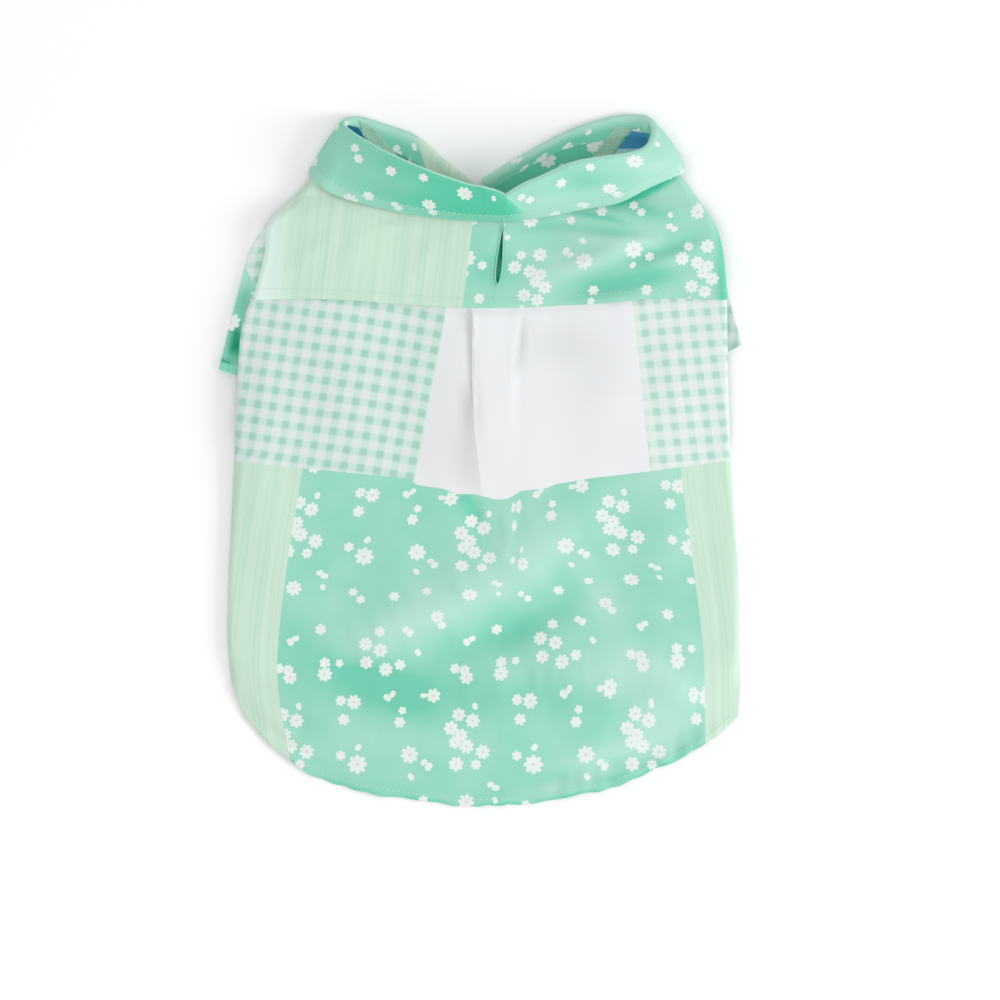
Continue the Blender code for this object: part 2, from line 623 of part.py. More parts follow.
Tape = namedtuple("Tape", "near_x near_y far_x far_y")
TAPE_LEFT = [Tape(-62.6, 159.8, -58.6, 160.6), Tape(-62.6, 156.6, -57.8, 156.6),
             Tape(-62.8, 153.4, -57.0, 152.6)]
TAPE_RIGHT = [Tape(77.2, 157.8, 72.4, 159.8), Tape(77, 155.2, 69.6, 156), Tape(75.8, 152.4, 66, 151)]
TAPE_WALL = 1.0
TAPE_COLUMNS = 4
PROBE_REACH, PROBE_TOP = 1.2, 40.0   # the cloth below is felt this far around, from this high


def neck_tape(name, table, under):
    """A short tape that lies on the front's inner face at the neck seam's shoulder end."""
    front_cloth = under.evaluated_get(bpy.context.evaluated_depsgraph_get())

    def rest_level(x, y):
        hits = []
        for dx, dy in ((0, 0), (1, 0), (-1, 0), (0, 1), (0, -1)):
            start = Vector((x + dx * PROBE_REACH, y + dy * PROBE_REACH, PROBE_TOP))
            start = (start - Vector((MIDDLE[0], MIDDLE[1], 0))) * MM
            found, place, _, _ = front_cloth.ray_cast(start, Vector((0, 0, -1)))
            if found:
                hits.append(place.z / MM)
        return max(hits) + LAYER

    rows = []
    for row in table:
        near, far = Vector((row.near_x, row.near_y)), Vector((row.far_x, row.far_y))
        line = [near.lerp(far, k / TAPE_COLUMNS) for k in range(TAPE_COLUMNS + 1)]
        rows.append([Vector((p.x, p.y, rest_level(p.x, p.y))) for p in line])
    if table[0].near_x > 0:
        for row in rows:
            row.reverse()
    grid_object(name, rows[::-1], BLUE, ROUGH, 1, wall=TAPE_WALL)


for item in list(bpy.data.objects):
    bpy.data.objects.remove(item, do_unlink=True)

yoke_left, yoke_right = yoke()
back_left, back_right = back_panel()
left = front("front_left", -1, back_left, yoke_left, ARMHOLE_LEFT, True)
right = front("front_right", 1, back_right, yoke_right, ARMHOLE_RIGHT, False)
sleeve("sleeve_left", SLEEVE_LEFT)
sleeve("sleeve_right", SLEEVE_RIGHT)
collar()
neck_tape("neck_tape_left", TAPE_LEFT, left)
neck_tape("neck_tape_right", TAPE_RIGHT, right)
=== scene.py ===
# %% [markdown]
# # A dog shirt, laid flat with its back up
#
# The shirt is cut from one printed patchwork cotton: a yoke with a leash slit, a back with a
# pleat, two fronts, two sleeves and a folded collar. Each piece is a thin wall of cloth, worked
# out from the same few outlines as its solid in the frame, only much finer.
# Tables are in millimetres, as a pattern cutter would write them; meshes are in metres.

# %% Load the frame
import bisect
import math
from collections import namedtuple

import bmesh
import bpy
import numpy as np
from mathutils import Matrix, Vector, noise
from mathutils.bvhtree import BVHTree


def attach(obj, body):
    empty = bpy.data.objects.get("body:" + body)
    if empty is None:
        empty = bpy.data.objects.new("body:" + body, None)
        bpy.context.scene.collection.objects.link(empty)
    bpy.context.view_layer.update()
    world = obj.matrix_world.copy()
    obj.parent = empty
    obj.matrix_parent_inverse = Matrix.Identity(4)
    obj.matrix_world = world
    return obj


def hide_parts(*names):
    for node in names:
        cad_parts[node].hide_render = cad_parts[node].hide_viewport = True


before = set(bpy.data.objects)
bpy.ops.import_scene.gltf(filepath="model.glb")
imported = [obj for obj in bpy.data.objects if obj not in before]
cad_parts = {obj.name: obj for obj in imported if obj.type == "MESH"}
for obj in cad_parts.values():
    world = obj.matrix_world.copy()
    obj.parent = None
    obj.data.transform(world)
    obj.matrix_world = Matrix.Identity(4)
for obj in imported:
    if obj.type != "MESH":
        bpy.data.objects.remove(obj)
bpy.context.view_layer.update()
MM = 0.001
MIDDLE = (-1.25, 0.0)      # middle of the laid shirt in the tables' own axes

# %% [markdown]
# ## Table, light and camera
#
# A garment is shown best from straight above, lying on a white table. A long lens far away keeps
# the outline free of perspective. The key light comes low from the lower right, so that soft
# folds throw a gentle shade to the upper left; a wide, weak light and a white room fill the rest.
# A sun lamp would be simpler, but its hard shade shows every facet.

# %% Table, light and camera
FIELD = 0.5                # side of the square that the camera sees on the table, metres
FIELD_CENTRE = (0.010, -0.020)
CAMERA_HEIGHT = 3.0
SENSOR_MM = 36
FAR_CLIP = 20
ROOM_COLOUR, ROOM_STRENGTH = (1, 0.985, 0.99, 1), 0.75
TABLE_WHITE, TABLE_ROUGHNESS, TABLE_HALF = (0.93, 0.93, 0.93, 1), 0.8, 4.0
Lamp = namedtuple("Lamp", "name place size power")
LAMPS = [Lamp("key", (2.75, -0.45, 1.35), 1.3, 46), Lamp("fill", (-0.4, -0.6, 2.6), 2.4, 16)]


def add_object(name, data):
    thing = bpy.data.objects.new(name, data)
    bpy.context.scene.collection.objects.link(thing)
    return thing


def make_camera():
    data = bpy.data.cameras.new("overhead")
    data.sensor_width = SENSOR_MM
    data.lens = SENSOR_MM * CAMERA_HEIGHT / FIELD
    data.clip_end = FAR_CLIP
    camera = add_object("overhead", data)
    camera.location = (*FIELD_CENTRE, CAMERA_HEIGHT)
    bpy.context.scene.camera = camera


def soft_light(lamp):
    """A square lamp that faces the middle of the table."""
    data = bpy.data.lights.new(lamp.name, "AREA")
    data.shape = "SQUARE"
    data.size = lamp.size
    data.energy = lamp.power
    light = add_object(lamp.name, data)
    light.location = lamp.place
    light.rotation_mode = "QUATERNION"
    light.rotation_quaternion = (-Vector(lamp.place)).to_track_quat("-Z", "Y")


def white_room():
    world = bpy.data.worlds.new("white_room")
    world.use_nodes = True
    world.node_tree.nodes["Background"].inputs["Color"].default_value = ROOM_COLOUR
    world.node_tree.nodes["Background"].inputs["Strength"].default_value = ROOM_STRENGTH
    bpy.context.scene.world = world


def make_table():
    mesh = bpy.data.meshes.new("table")
    corners = [(a * TABLE_HALF, b * TABLE_HALF, 0) for a, b in ((-1, -1), (1, -1), (1, 1), (-1, 1))]
    mesh.from_pydata(corners, [], [(0, 1, 2, 3)])
    table = add_object("table", mesh)
    paint = bpy.data.materials.new("white_table")
    paint.use_nodes = True
    paint.node_tree.nodes["Principled BSDF"].inputs["Base Color"].default_value = TABLE_WHITE
    paint.node_tree.nodes["Principled BSDF"].inputs["Roughness"].default_value = TABLE_ROUGHNESS
    mesh.materials.append(paint)


make_camera()
make_table()
white_room()
for lamp in LAMPS:
    soft_light(lamp)
bpy.context.scene.view_settings.view_transform = "Standard"
print("lens, mm:", bpy.context.scene.camera.data.lens, "with", len(LAMPS), "soft lamps")

# %% [markdown]
# ## The cutter's tables
#
# These are the outlines of the pieces seen from above, the sections of the collar and the soft
# folds of the back. They are the driving sizes; everything else is worked out from them. An
# outline has only the points that its shape needs, because a smooth line will pass through them.

# %% Outlines of the panels
YOKE_SEAM = [(-114.6, 80.4), (-76, 80), (-18, 76.3), (9, 75.8), (59, 78), (89, 80.6), (122.3, 80)]
YOKE_LEFT = [(-114.6, 80.4), (-108.8, 103), (-107.3, 117), (-96.5, 129.5), (-85.5, 140),
             (-75, 152)]
YOKE_RIGHT = [(122.3, 80), (120.3, 102), (116.3, 117), (108.5, 129), (100.5, 139.5),
              (92, 149.5)]
BACK_TOP = [(-116, 79.6), (-76, 79.6), (-18, 75.9), (9, 75.4), (59, 77.6), (89, 80.2), (122, 79.6)]
BACK_LEFT = [(-116, 79.6), (-120.3, 66), (-122.3, 42), (-123.4, 12), (-125.4, -30), (-127.4, -78),
             (-125.8, -107), (-119.5, -128)]
BACK_RIGHT = [(122, 79.6), (122.8, 35), (124.3, -10), (127.4, -55), (128, -95), (127.8, -128)]
BACK_HEM = [(-119.5, -128), (-104, -144.5), (-79, -160), (-49, -167.6), (4, -173),
            (57, -165.6), (92.5, -152), (117.5, -137.6), (127.8, -128)]
ARMHOLE_LEFT = [(-108, 86), (-101, 98), (-101, 109)]
ARMHOLE_RIGHT = [(111, 86), (107, 97), (107, 108)]
BELLY_HEM = [(95, -76), (50, -54), (15, -43)]
BELLY_CORNER, UNDERARM, SHOULDER = -90, 62, 121
LAP, LAP_RISE = 9.0, 2.0     # half the fronts' overlap, and how far the upper one is lifted
print("yoke seam, mm:", round(YOKE_SEAM[-1][0] - YOKE_SEAM[0][0]), "wide; tail hem:", -BACK_HEM[4][1], "low")

# %% [markdown]
# The collar changes its section all the way round: flat under the throat, standing at the nape,
# flat again on the other side. Each row gives the roll, the neck seam and the leaf's edge as
# (x, y, z). Pressed sleeves need only their two folds at a few levels.

# %% Sections of the collar and the sleeves
Section = namedtuple("Section", "roll neck edge")
COLLAR = [Section(*row) for row in [
    ((-3.5, 137.5, 2.7), (-3.5, 131.5, 4.8), (-12, 115, 0.65)),
    ((-19.5, 150, 2.4), (-20.5, 143.5, 3.8), (-30, 127, 0.65)),
    ((-33.3, 161.8, 2.4), (-36.5, 154, 3.8), (-46, 138, 0.65)),
    ((-49.8, 167.8, 2.4), (-51, 160.3, 3.9), (-62, 143.5, 0.65)),
    ((-60, 171, 2.8), (-59.5, 164.6, 4.4), (-74, 149, 0.7)),
    ((-66.8, 170.4, 5.5), (-65, 165, 5.8), (-83, 147.5, 1.6)),
    ((-68.8, 167.2, 9.5), (-66.6, 161.7, 8.6), (-86.2, 142.6, 4.4)),
    ((-64.8, 163.4, 14), (-62, 157.5, 12), (-81.4, 136.8, 10.9)),
    ((-58.9, 159.3, 18), (-56, 153.8, 14.5), (-73, 132, 10.8)),
    ((-49.8, 153.8, 21.5), (-47, 148.3, 16.3), (-60, 127.8, 10.8)),
    ((-33.3, 146, 25), (-31, 140.8, 18), (-40.5, 123.4, 11)),
    ((-13, 138.4, 26), (-12, 133.2, 18.5), (-17, 120.2, 11.3)),
    ((6, 133.5, 25), (6, 128.8, 18), (5, 119, 11.5)),
    ((24.3, 138.4, 26), (23, 133, 18.5), (28, 120.8, 11.4)),
    ((43.8, 146.8, 27), (41.5, 141.3, 18.8), (50, 125, 11.5)),
    ((60.3, 150.2, 25.5), (57, 145, 18), (68, 128.3, 12)),
    ((72, 152, 22.5), (68, 146.8, 16.5), (82.5, 135.4, 13.5)),
    ((80, 155, 19), (76, 149.5, 13.5), (94, 140.4, 13.5)),
    ((84, 160, 15.5), (80.5, 154.3, 10.5), (99.9, 143.2, 11.5)),
    ((85, 166, 11), (82.3, 159.4, 7.8), (99.4, 149.2, 7)),
    ((82, 171, 6.5), (79.5, 163.4, 5.3), (94, 154, 2.2)),
    ((75, 172.4, 3.0), (73.5, 164.8, 4.2), (84, 150, 0.7)),
    ((62, 170.6, 2.4), (60.5, 162.8, 3.9), (70.5, 147, 0.65)),
    ((43.8, 164.8, 2.4), (41, 157.2, 3.8), (54.5, 140.5, 0.65)),
    ((22, 153.5, 2.4), (19.5, 146, 3.8), (33, 129.5, 0.65)),
    ((-0.2, 140.2, 2.6), (1, 134, 3.4), (12, 118, 0.65)),
]]
NAPE_FIRST, NAPE_LAST = 6, 19
SEAM_GAP, CAD_WALL = 1.2, 1.2
FOLD_REACH, FOLD_HALF, LEAF_BULGE = 2.0, 1.7, 1.4

Cut = namedtuple("Cut", "outer_x outer_y inner_x inner_y")
SLEEVE_LEFT = [
    Cut(-109.5, 115.5, -76, 107),
    Cut(-115.8, 105, -71, 94),
    Cut(-118.8, 96, -69, 82),
    Cut(-122.4, 82.5, -69, 67),
    Cut(-126.9, 65, -71, 50),
    Cut(-131.6, 45.2, -77, 26.7),
]
SLEEVE_RIGHT = [
    Cut(111, 113, 78, 104),
    Cut(117.5, 103, 73, 92),
    Cut(120.3, 94, 71, 80),
    Cut(123.2, 81, 71, 66),
    Cut(126.3, 69, 74, 50),
    Cut(129.3, 57.5, 79, 31),
]
SLEEVE_HEIGHT = 3.2
print(len(COLLAR), "collar sections,", len(SLEEVE_LEFT) + len(SLEEVE_RIGHT), "sleeve cuts")

# %% [markdown]
# A fold is a curve through three points with a half width and a height, below zero for a trough.
# Every crease on every piece is one row of such a table, so that it can be moved or softened alone.

# %% Levels, folds, pleat and slit
BODY_LEVEL, YOKE_RISE, SLEEVE_LIFT, LEAF_LIFT, NECK_REACH = 5.2, 0.035, 3.7, 1.75, 5.5
Fold = namedtuple("Fold", "x0 y0 x1 y1 x2 y2 half_width height")


def folds(*rows):
    """A table of folds, each along a curve through three points."""
    return [Fold(*row) for row in rows]


FOLDS = folds(
    (-100, -90, -45, -118, 70, -124, 15, -1.2), (-30, -99, 15, -88, 60, -58, 12, -1.1),
    (-70, -92, -10, -72, 48, -26, 16, 3.0), (20, -112, 70, -100, 112, -118, 17, 2.8),
    (-92, -128, -40, -140, 20, -140, 15, 1.6), (-105, 40, -112, -10, -108, -60, 14, 1.6),
    (82, 40, 92, -10, 98, -60, 16, 1.8), (28, 88, 52, 96, 76, 110, 8, 1.8),
    (70, 84, 92, 92, 112, 104, 9, 1.6), (-70, 96, -62, 108, -56, 118, 9, 1.2),
)
PLEAT_TOP, PLEAT_END, PLEAT_LEFT, PLEAT_RIGHT, PLEAT_HEIGHT = 75.8, -18.0, -6.1, 18.0, 1.15
SLIT_TOP, SLIT_BOTTOM, SLIT_WIDTH = (10.6, 120.5), (7.3, 87.0), 2.5
print(len(FOLDS), "soft folds; pleat", PLEAT_RIGHT - PLEAT_LEFT, "mm wide")

# %% [markdown]
# ## Smooth lines and patches
#
# A panel seen from above is the surface between four smooth lines (a Coons patch): the outline is
# followed exactly and the threads inside run evenly from side to side and from hem to neck.
# Catmull-Rom lines pass through every point of the tables, which a Bezier would not.

# %% Smooth lines and patches
def smooth_step(value):
    value = min(max(value, 0.0), 1.0)
    return value * value * (3 - 2 * value)


def between(a, b, c, d, u):
    """The Catmull-Rom point at u between b and c, with a before and d after them."""
    return 0.5 * (2 * b + (c - a) * u + (2 * a - 5 * b + 4 * c - d) * u ** 2
                  + (3 * b - a - 3 * c + d) * u ** 3)


def smooth_line(points, steps=10):
    """A dense Catmull-Rom line through points of any number of columns."""
    rows = [np.array(p, float) for p in points]
    rows = [2 * rows[0] - rows[1]] + rows + [2 * rows[-1] - rows[-2]]
    line = [between(*four, k / steps) for four in zip(rows, rows[1:], rows[2:], rows[3:])
            for k in range(steps)]
    return line + [rows[-2]]


class Line:
    """A smooth line that is read by the fraction of its length."""

    def __init__(self, points, steps=10):
        self.points = smooth_line(points, steps)
        self.reach = [0.0]
        for a, b in zip(self.points, self.points[1:]):
            self.reach.append(self.reach[-1] + float(np.linalg.norm(b - a)))
        self.length = self.reach[-1]

    def at(self, fraction):
        goal = min(max(fraction, 0.0), 1.0) * self.length
        k = min(max(bisect.bisect_left(self.reach, goal), 1), len(self.reach) - 1)
        span = self.reach[k] - self.reach[k - 1]
        u = (goal - self.reach[k - 1]) / span if span > 1e-9 else 0.0
        return Vector(self.points[k - 1] + (self.points[k] - self.points[k - 1]) * min(u, 1.0))


def plan(point):
    return Vector((point[0], point[1]))


class Patch:
    """The plan of a panel between four lines: across s runs 0..1, up t runs 0..1."""

    def __init__(self, bottom, top, left, right):
        self.bottom, self.top, self.left, self.right = bottom, top, left, right
        self.corners = [plan(line.at(u)) for line in (bottom, top) for u in (0, 1)]

    def at(self, s, t):
        a, b, c, d = self.corners
        corners = (1 - s) * (1 - t) * a + s * (1 - t) * b + (1 - s) * t * c + s * t * d
        sides = (1 - s) * plan(self.left.at(t)) + s * plan(self.right.at(t))
        ends = (1 - t) * plan(self.bottom.at(s)) + t * plan(self.top.at(s))
        return sides + ends - corners


def inward_of(patch, s, t):
    """The plan direction square to a side of the patch, into the panel."""
    along = patch.at(s, min(t + 0.02, 1)) - patch.at(s, max(t - 0.02, 0))
    square = Vector((along.y, -along.x)).normalized()
    middle = patch.at(0.5, t) - patch.at(s, t)
    return square if square.dot(middle) > 0 else -square


print("tail hem, mm:", round(Line(BACK_HEM).length, 1))

# %% [markdown]
# ## How high the cloth lies
#
# Flat cloth still has levels: it climbs over the sleeves and over the collar's lower leaf, and the
# back has soft ridges and troughs. One function gives the level at any point, so that every piece
# agrees on it, and a fold is a curve with a width and a height.

# %% Levels and folds
# Where a cloth starts to climb and over what run, in y over the leaf's edge, in x over the inner
# ends of the sleeves, and in y along the sleeves from their low to their high end.
Rise = namedtuple("Rise", "leaf leaf_run side side_run low low_run high high_run")
STEPPED = Rise(-13, 9, 46, 10, 0, 16, 122, 12)
BRIDGED = Rise(-20, 20, 32, 40, -30, 64, 120, 16)     # the upper cloth bridges the steps
LEAF_EDGE, LEAF_SLOPE, LEAF_REACH = 111, 0.55, 62
YOKE_FOOT, LIFT_SHARE = 70, 0.85


def lift(x, y, rise=STEPPED):
    """Height of what lies under a cloth: the collar's lower leaf and the sleeves."""
    leaf_edge = LEAF_EDGE + LEAF_SLOPE * min(abs(x - 2), LEAF_REACH)
    leaf = LEAF_LIFT * smooth_step((y - leaf_edge - rise.leaf) / rise.leaf_run)
    inward = smooth_step((abs(x) - rise.side) / rise.side_run)
    along = smooth_step((y - rise.low) / rise.low_run) * (1 - smooth_step((y - rise.high) / rise.high_run))
    return max(leaf, SLEEVE_LIFT * inward * along)


def fold_spot(fold, u):
    """The point at u of a fold's middle line."""
    return ((1 - u) ** 2 * fold.x0 + 2 * u * (1 - u) * fold.x1 + u ** 2 * fold.x2,
            (1 - u) ** 2 * fold.y0 + 2 * u * (1 - u) * fold.y1 + u ** 2 * fold.y2)


def fold_height(x, y, steps=12):
    """Height of all the broad folds at one point; each fades towards its ends."""
    total = 0.0
    for fold in FOLDS:
        spots = [fold_spot(fold, k / steps) for k in range(steps + 1)]
        away, k = min((math.hypot(x - px, y - py), k) for k, (px, py) in enumerate(spots))
        total += fold.height * math.sin(math.pi * (0.12 + 0.76 * k / steps)) * math.exp(
            -(away / fold.half_width) ** 2)
    return total


def pleat_height(x, y):
    """A flat box between two folds: sharp under the seam, soft and narrower further down."""
    if y > PLEAT_TOP + 1:
        return 0.0
    fade = smooth_step((y - PLEAT_END) / (PLEAT_TOP - PLEAT_END) * 1.5)
    fade *= 0.3 + 0.7 * smooth_step((PLEAT_TOP - y) / 6)
    soft = smooth_step((46 - y) / 50)
    left = smooth_step((x - PLEAT_LEFT + 0.9 + 3 * soft) / (1.1 + 8 * soft))
    right_fold = PLEAT_RIGHT + 1.2 - 0.085 * (PLEAT_TOP - y)
    right = 1 - smooth_step((x - right_fold + 1.2 + 3 * soft) / (2.4 + 9 * soft))
    return PLEAT_HEIGHT * fade * left * right


def top_level(x, y):
    rise = YOKE_RISE * max(y - YOKE_FOOT, 0)
    return BODY_LEVEL + rise + LIFT_SHARE * lift(x, y, BRIDGED) + fold_height(x, y) + pleat_height(x, y)


print("middle of the back lies", round(top_level(0, 0), 2), "mm high")

# %% [markdown]
# The broad folds above are asked for one point at a time, while rows are being built. Small
# creases, wear and the print's borders are added afterwards to whole grids, so these helpers take
# arrays: ramps and bells that fade things in and out, creases along their curves, a smooth noise,
# and the signed distance to a line.

# %% Creases, ripples and distances on whole grids
def ramp(values, start, run):
    """0 at start, 1 once run further on; a negative run rises the other way."""
    return np.clip((values - start) / run, 0, 1)


def bell(values, reach):
    """1 where the values are 0, fading over reach on both sides."""
    return np.exp(-(values / reach) ** 2)


def along_curve(fold, x, y):
    """Distance from points to a fold's curve, and how far along it they lie (0..1)."""
    u = np.linspace(0, 1, 41)
    px, py = fold_spot(fold, u)
    away = np.hypot(x[..., None] - px, y[..., None] - py)
    k = away.argmin(-1)
    return np.take_along_axis(away, k[..., None], -1)[..., 0], u[k]


def creases(table, x, y):
    """Sum of the small creases of a table at many points at once."""
    total = np.zeros_like(x)
    for fold in table:
        away, where = along_curve(fold, x, y)
        total += fold.height * np.sin(np.pi * (0.08 + 0.84 * where)) * np.exp(
            -(away / fold.half_width) ** 2)
    return total


def ripples(x, y, size, height, seed):
    """Slight unevenness of worn cotton, from a smooth noise."""
    flat = [noise.noise(Vector((a / size, b / size, seed))) for a, b in zip(x.ravel(), y.ravel())]
    return height * np.array(flat).reshape(x.shape)


def side_of(points, x, y, steps=6):
    """Signed distance of many points to a line, positive to its right; steps=1 keeps its corners."""
    line = np.array([p[:2] for p in smooth_line(points, steps)])
    a, b = line[:-1], line[1:]
    ab = b - a
    px, py = x[..., None] - a[:, 0], y[..., None] - a[:, 1]
    u = np.clip((px * ab[:, 0] + py * ab[:, 1]) / (ab ** 2).sum(1), 0, 1)
    away = np.hypot(px - u * ab[:, 0], py - u * ab[:, 1])
    k = away.argmin(-1)[..., None]
    turn = np.take_along_axis(ab[:, 1] * px - ab[:, 0] * py, k, -1)[..., 0]
    return np.sign(turn) * np.take_along_axis(away, k, -1)[..., 0]


sample = np.array([[0.0, 60.0]])
print("broad creases at two points, mm:", np.round(creases(FOLDS, sample, sample - 100), 2))

# %% [markdown]
# ## From rows of points to cloth
#
# Every piece is a grid of points, thickened by Solidify from its outer face inward. The grid keeps
# a UV map named "cut", in millimetres of the flat cut, so that a print turns over an edge with the
# cloth; extra numbers for the print, such as the distance to a patch's border, are stored beside it.
# A simulation would find folds of its own; a grid keeps every fold where the tables put it.

# %% From rows of points to cloth
CLOTH = 0.7                # the wall, a little more than cotton's real 0.3 mm
SHARP_EDGE = math.radians(70)
pieces = {}


def on_table(point):
    """A point of the tables, in millimetres, as a place in the frame, in metres."""
    return Vector((point[0] - MIDDLE[0], point[1] - MIDDLE[1], point[2])) * MM


def plain_mesh(piece):
    """Turns a piece with its modifiers into a plain mesh."""
    graph = bpy.context.evaluated_depsgraph_get()
    mesh = bpy.data.meshes.new_from_object(piece.evaluated_get(graph), preserve_all_data_layers=True,
                                           depsgraph=graph)
    piece.modifiers.clear()
    piece.data = mesh
    mesh.name = piece.name
    return piece


def cloth_mesh(name, grid, cut, marks, closed):
    """The grid as a mesh, with its UV map and its marks; a closed grid is a tube."""
    rows, count = grid.shape[:2]
    faces = []
    for r in range(rows - 1):
        for k in range(count if closed else count - 1):
            n = (k + 1) % count
            faces.append((r * count + k, r * count + n, (r + 1) * count + n, (r + 1) * count + k))
    mesh = bpy.data.meshes.new(name)
    mesh.from_pydata([on_table(p) for p in grid.reshape(-1, 3)], [], faces)
    uv = mesh.uv_layers.new(name="cut")
    corners = np.zeros(len(mesh.loops), int)
    mesh.loops.foreach_get("vertex_index", corners)
    uv.data.foreach_set("uv", (cut.reshape(-1, 2)[corners] * MM).ravel())
    for title, values in marks.items():
        layer = mesh.attributes.new(title, "FLOAT", "POINT")
        layer.data.foreach_set("value", values.ravel())
    mesh.shade_smooth()
    return mesh


def keep_piece(piece):
    pieces[piece.name] = piece
    print(piece.name, len(piece.data.polygons), "faces")
    return piece


def cloth_piece(name, grid, cut, marks=None, wall=CLOTH, offset=-1, closed=False, hem=None):
    """A wall of cloth through a grid of points; hem gives each point's share of the wall."""
    piece = add_object(name, cloth_mesh(name, grid, cut, marks or {}, closed))
    solid = piece.modifiers.new("cloth", "SOLIDIFY")
    solid.thickness = wall * MM
    solid.offset = offset
    solid.use_even_offset = False
    if hem is not None:
        group = piece.vertex_groups.new(name="wall")
        for k, weight in enumerate(hem.ravel()):
            group.add([k], float(weight), "REPLACE")
        solid.vertex_group = "wall"
    plain_mesh(piece)
    piece.data.set_sharp_from_angle(angle=SHARP_EDGE)
    return keep_piece(piece)


print("cloth wall, mm:", CLOTH)


# %% [markdown]
# ## The rolled side
#
# At the side seams the back turns under and meets the fronts: a flat tube of cloth has a rounded
# edge, not a cut one. Each row of the back and the yoke therefore starts and ends with an arc that
# unrolls into a flat hem behind the belly.

# %% The rolled side
EDGE_ANGLES = (150, 138, 125, 112, 99, 86, 73, 60, 47, 34, 21, 10)
UNROLLED, UNROLL_LENGTH = 0.04, 30.0
EAR_REACH, EAR_THICK = 10.0, 3.6     # the raised corner beside the collar


def edge_levels(x, y):
    """Where a side seam starts and ends in height: they close up towards the collar's corner."""
    corner = COLLAR[NAPE_FIRST if x < 0 else NAPE_LAST].neck
    near = math.exp(-(math.hypot(x - corner[0], y - corner[1]) / EAR_REACH) ** 1.3)
    low, high = lift(x, y), top_level(x, y)
    high += (corner[2] - high) * near
    low += (corner[2] - EAR_THICK - low) * near
    return low, high


def rolled_side(patch, s, t, levels, wrap):
    """The side of one row, from the seam inward, and the width that it takes."""
    edge = patch.at(s, t)
    along_row = (patch.at(0.05 if s == 0 else 0.95, t) - edge).normalized()
    inward = (inward_of(patch, s, t) * wrap + along_row * (1 - wrap)).normalized()
    low, high = levels
    bend = max(wrap, UNROLLED)
    radius = (high - low) / 2 / bend
    reach = radius * math.sin(math.radians(min(90, EDGE_ANGLES[0] * bend)))
    points = []
    for angle in EDGE_ANGLES:
        turn = math.radians(angle * bend)
        inset = reach - radius * math.sin(turn)
        level = high - radius * (1 - math.cos(turn))
        points.append(Vector((edge.x + inward.x * inset, edge.y + inward.y * inset, level)))
    return points, reach


print("points round each rolled side:", len(EDGE_ANGLES))

# %% [markdown]
# The cloth beside a rolled side has to meet it, so the side's height and direction fade inward over
# a few millimetres. A row is built once for both panels, and its cut is measured along it.

# %% Rows of the back and the yoke
SIDE_BLEND, SHARE_SLOPE = 12.0, 22
Side = namedtuple("Side", "points inset extra square")


def back_side(patch, s, t, width, top_of, levels_of, wrap_of):
    """A rolled side, and what it asks of the cloth beside it: more height and a step square to it."""
    edge = patch.at(s, t)
    levels, wrap = levels_of(edge, t), wrap_of(edge.y)
    points, inset = rolled_side(patch, s, t, levels, wrap)
    place = inset / width if s == 0 else 1 - inset / width
    square = edge + inward_of(patch, s, t) * inset - patch.at(place, t)
    return Side(points, inset, levels[1] - top_of(edge.x, edge.y, s, t), square * wrap)


def back_row(patch, t, across, top_of, levels_of, wrap_of):
    """One row: both sides roll over, the middle follows top_of."""
    width = (patch.at(1, t) - patch.at(0, t)).length
    left, right = (back_side(patch, s, t, width, top_of, levels_of, wrap_of) for s in (0, 1))
    row = []
    for share in across:
        s = (left.inset + (width - left.inset - right.inset) * share) / width
        spot = patch.at(s, t)
        beside = [(left, s * width - left.inset), (right, (1 - s) * width - right.inset)]
        for side, away in beside:
            spot += side.square * math.exp(-away / SIDE_BLEND)
        level = top_of(spot.x, spot.y, s, t)
        for side, away in beside:
            level += side.extra * math.exp(-max(away, 0) / SIDE_BLEND)
        row.append(Vector((spot.x, spot.y, level)))
    return left.points + row + right.points[::-1]


def rolled_cut(grid):
    """Cut coordinates of such rows: the plan, carried on round both rolled sides."""
    cut = grid[..., :2].copy()
    side = len(EDGE_ANGLES)
    for step, first, last in ((-1, side, -1), (1, grid.shape[1] - side - 1, grid.shape[1])):
        for k in range(first + step, last, step):
            length = np.linalg.norm(grid[:, k] - grid[:, k - step], axis=-1)
            cut[:, k, 0] = cut[:, k - step, 0] + step * length
            cut[:, k, 1] = cut[:, first, 1]
    return cut


def inner_share(grid):
    """1 over the middle of such rows, falling to 0 before the rolled sides."""
    side = len(EDGE_ANGLES)
    middle = grid.shape[1] - 2 * side
    share = np.zeros(grid.shape[1])
    place = np.arange(middle) / (middle - 1)
    share[side:side + middle] = np.clip(np.minimum(place, 1 - place) * SHARE_SLOPE, 0, 1)
    return share[None, :]


print("a side's pull fades over", SIDE_BLEND, "mm")



# %% [markdown]
# ## Small helpers for shader nodes
#
# Each print is a node group that turns millimetres on the flat cloth into a mask. The groups are
# written with a few helpers, so that a formula reads like one.

# %% Node helpers
def new_group(title, inputs, outputs):
    """A shader node group with float or vector sockets, given as {name: kind}."""
    group = bpy.data.node_groups.new(title, "ShaderNodeTree")
    for side, sockets in (("INPUT", inputs), ("OUTPUT", outputs)):
        for label, kind in sockets.items():
            group.interface.new_socket(label, in_out=side, socket_type="NodeSocket" + kind)
    return group, group.nodes.new("NodeGroupInput"), group.nodes.new("NodeGroupOutput")


def feed(tree, socket, value):
    """Links a socket to another one, or sets it to a value."""
    if isinstance(value, bpy.types.NodeSocket):
        tree.links.new(value, socket)
    elif value is not None:
        socket.default_value = value


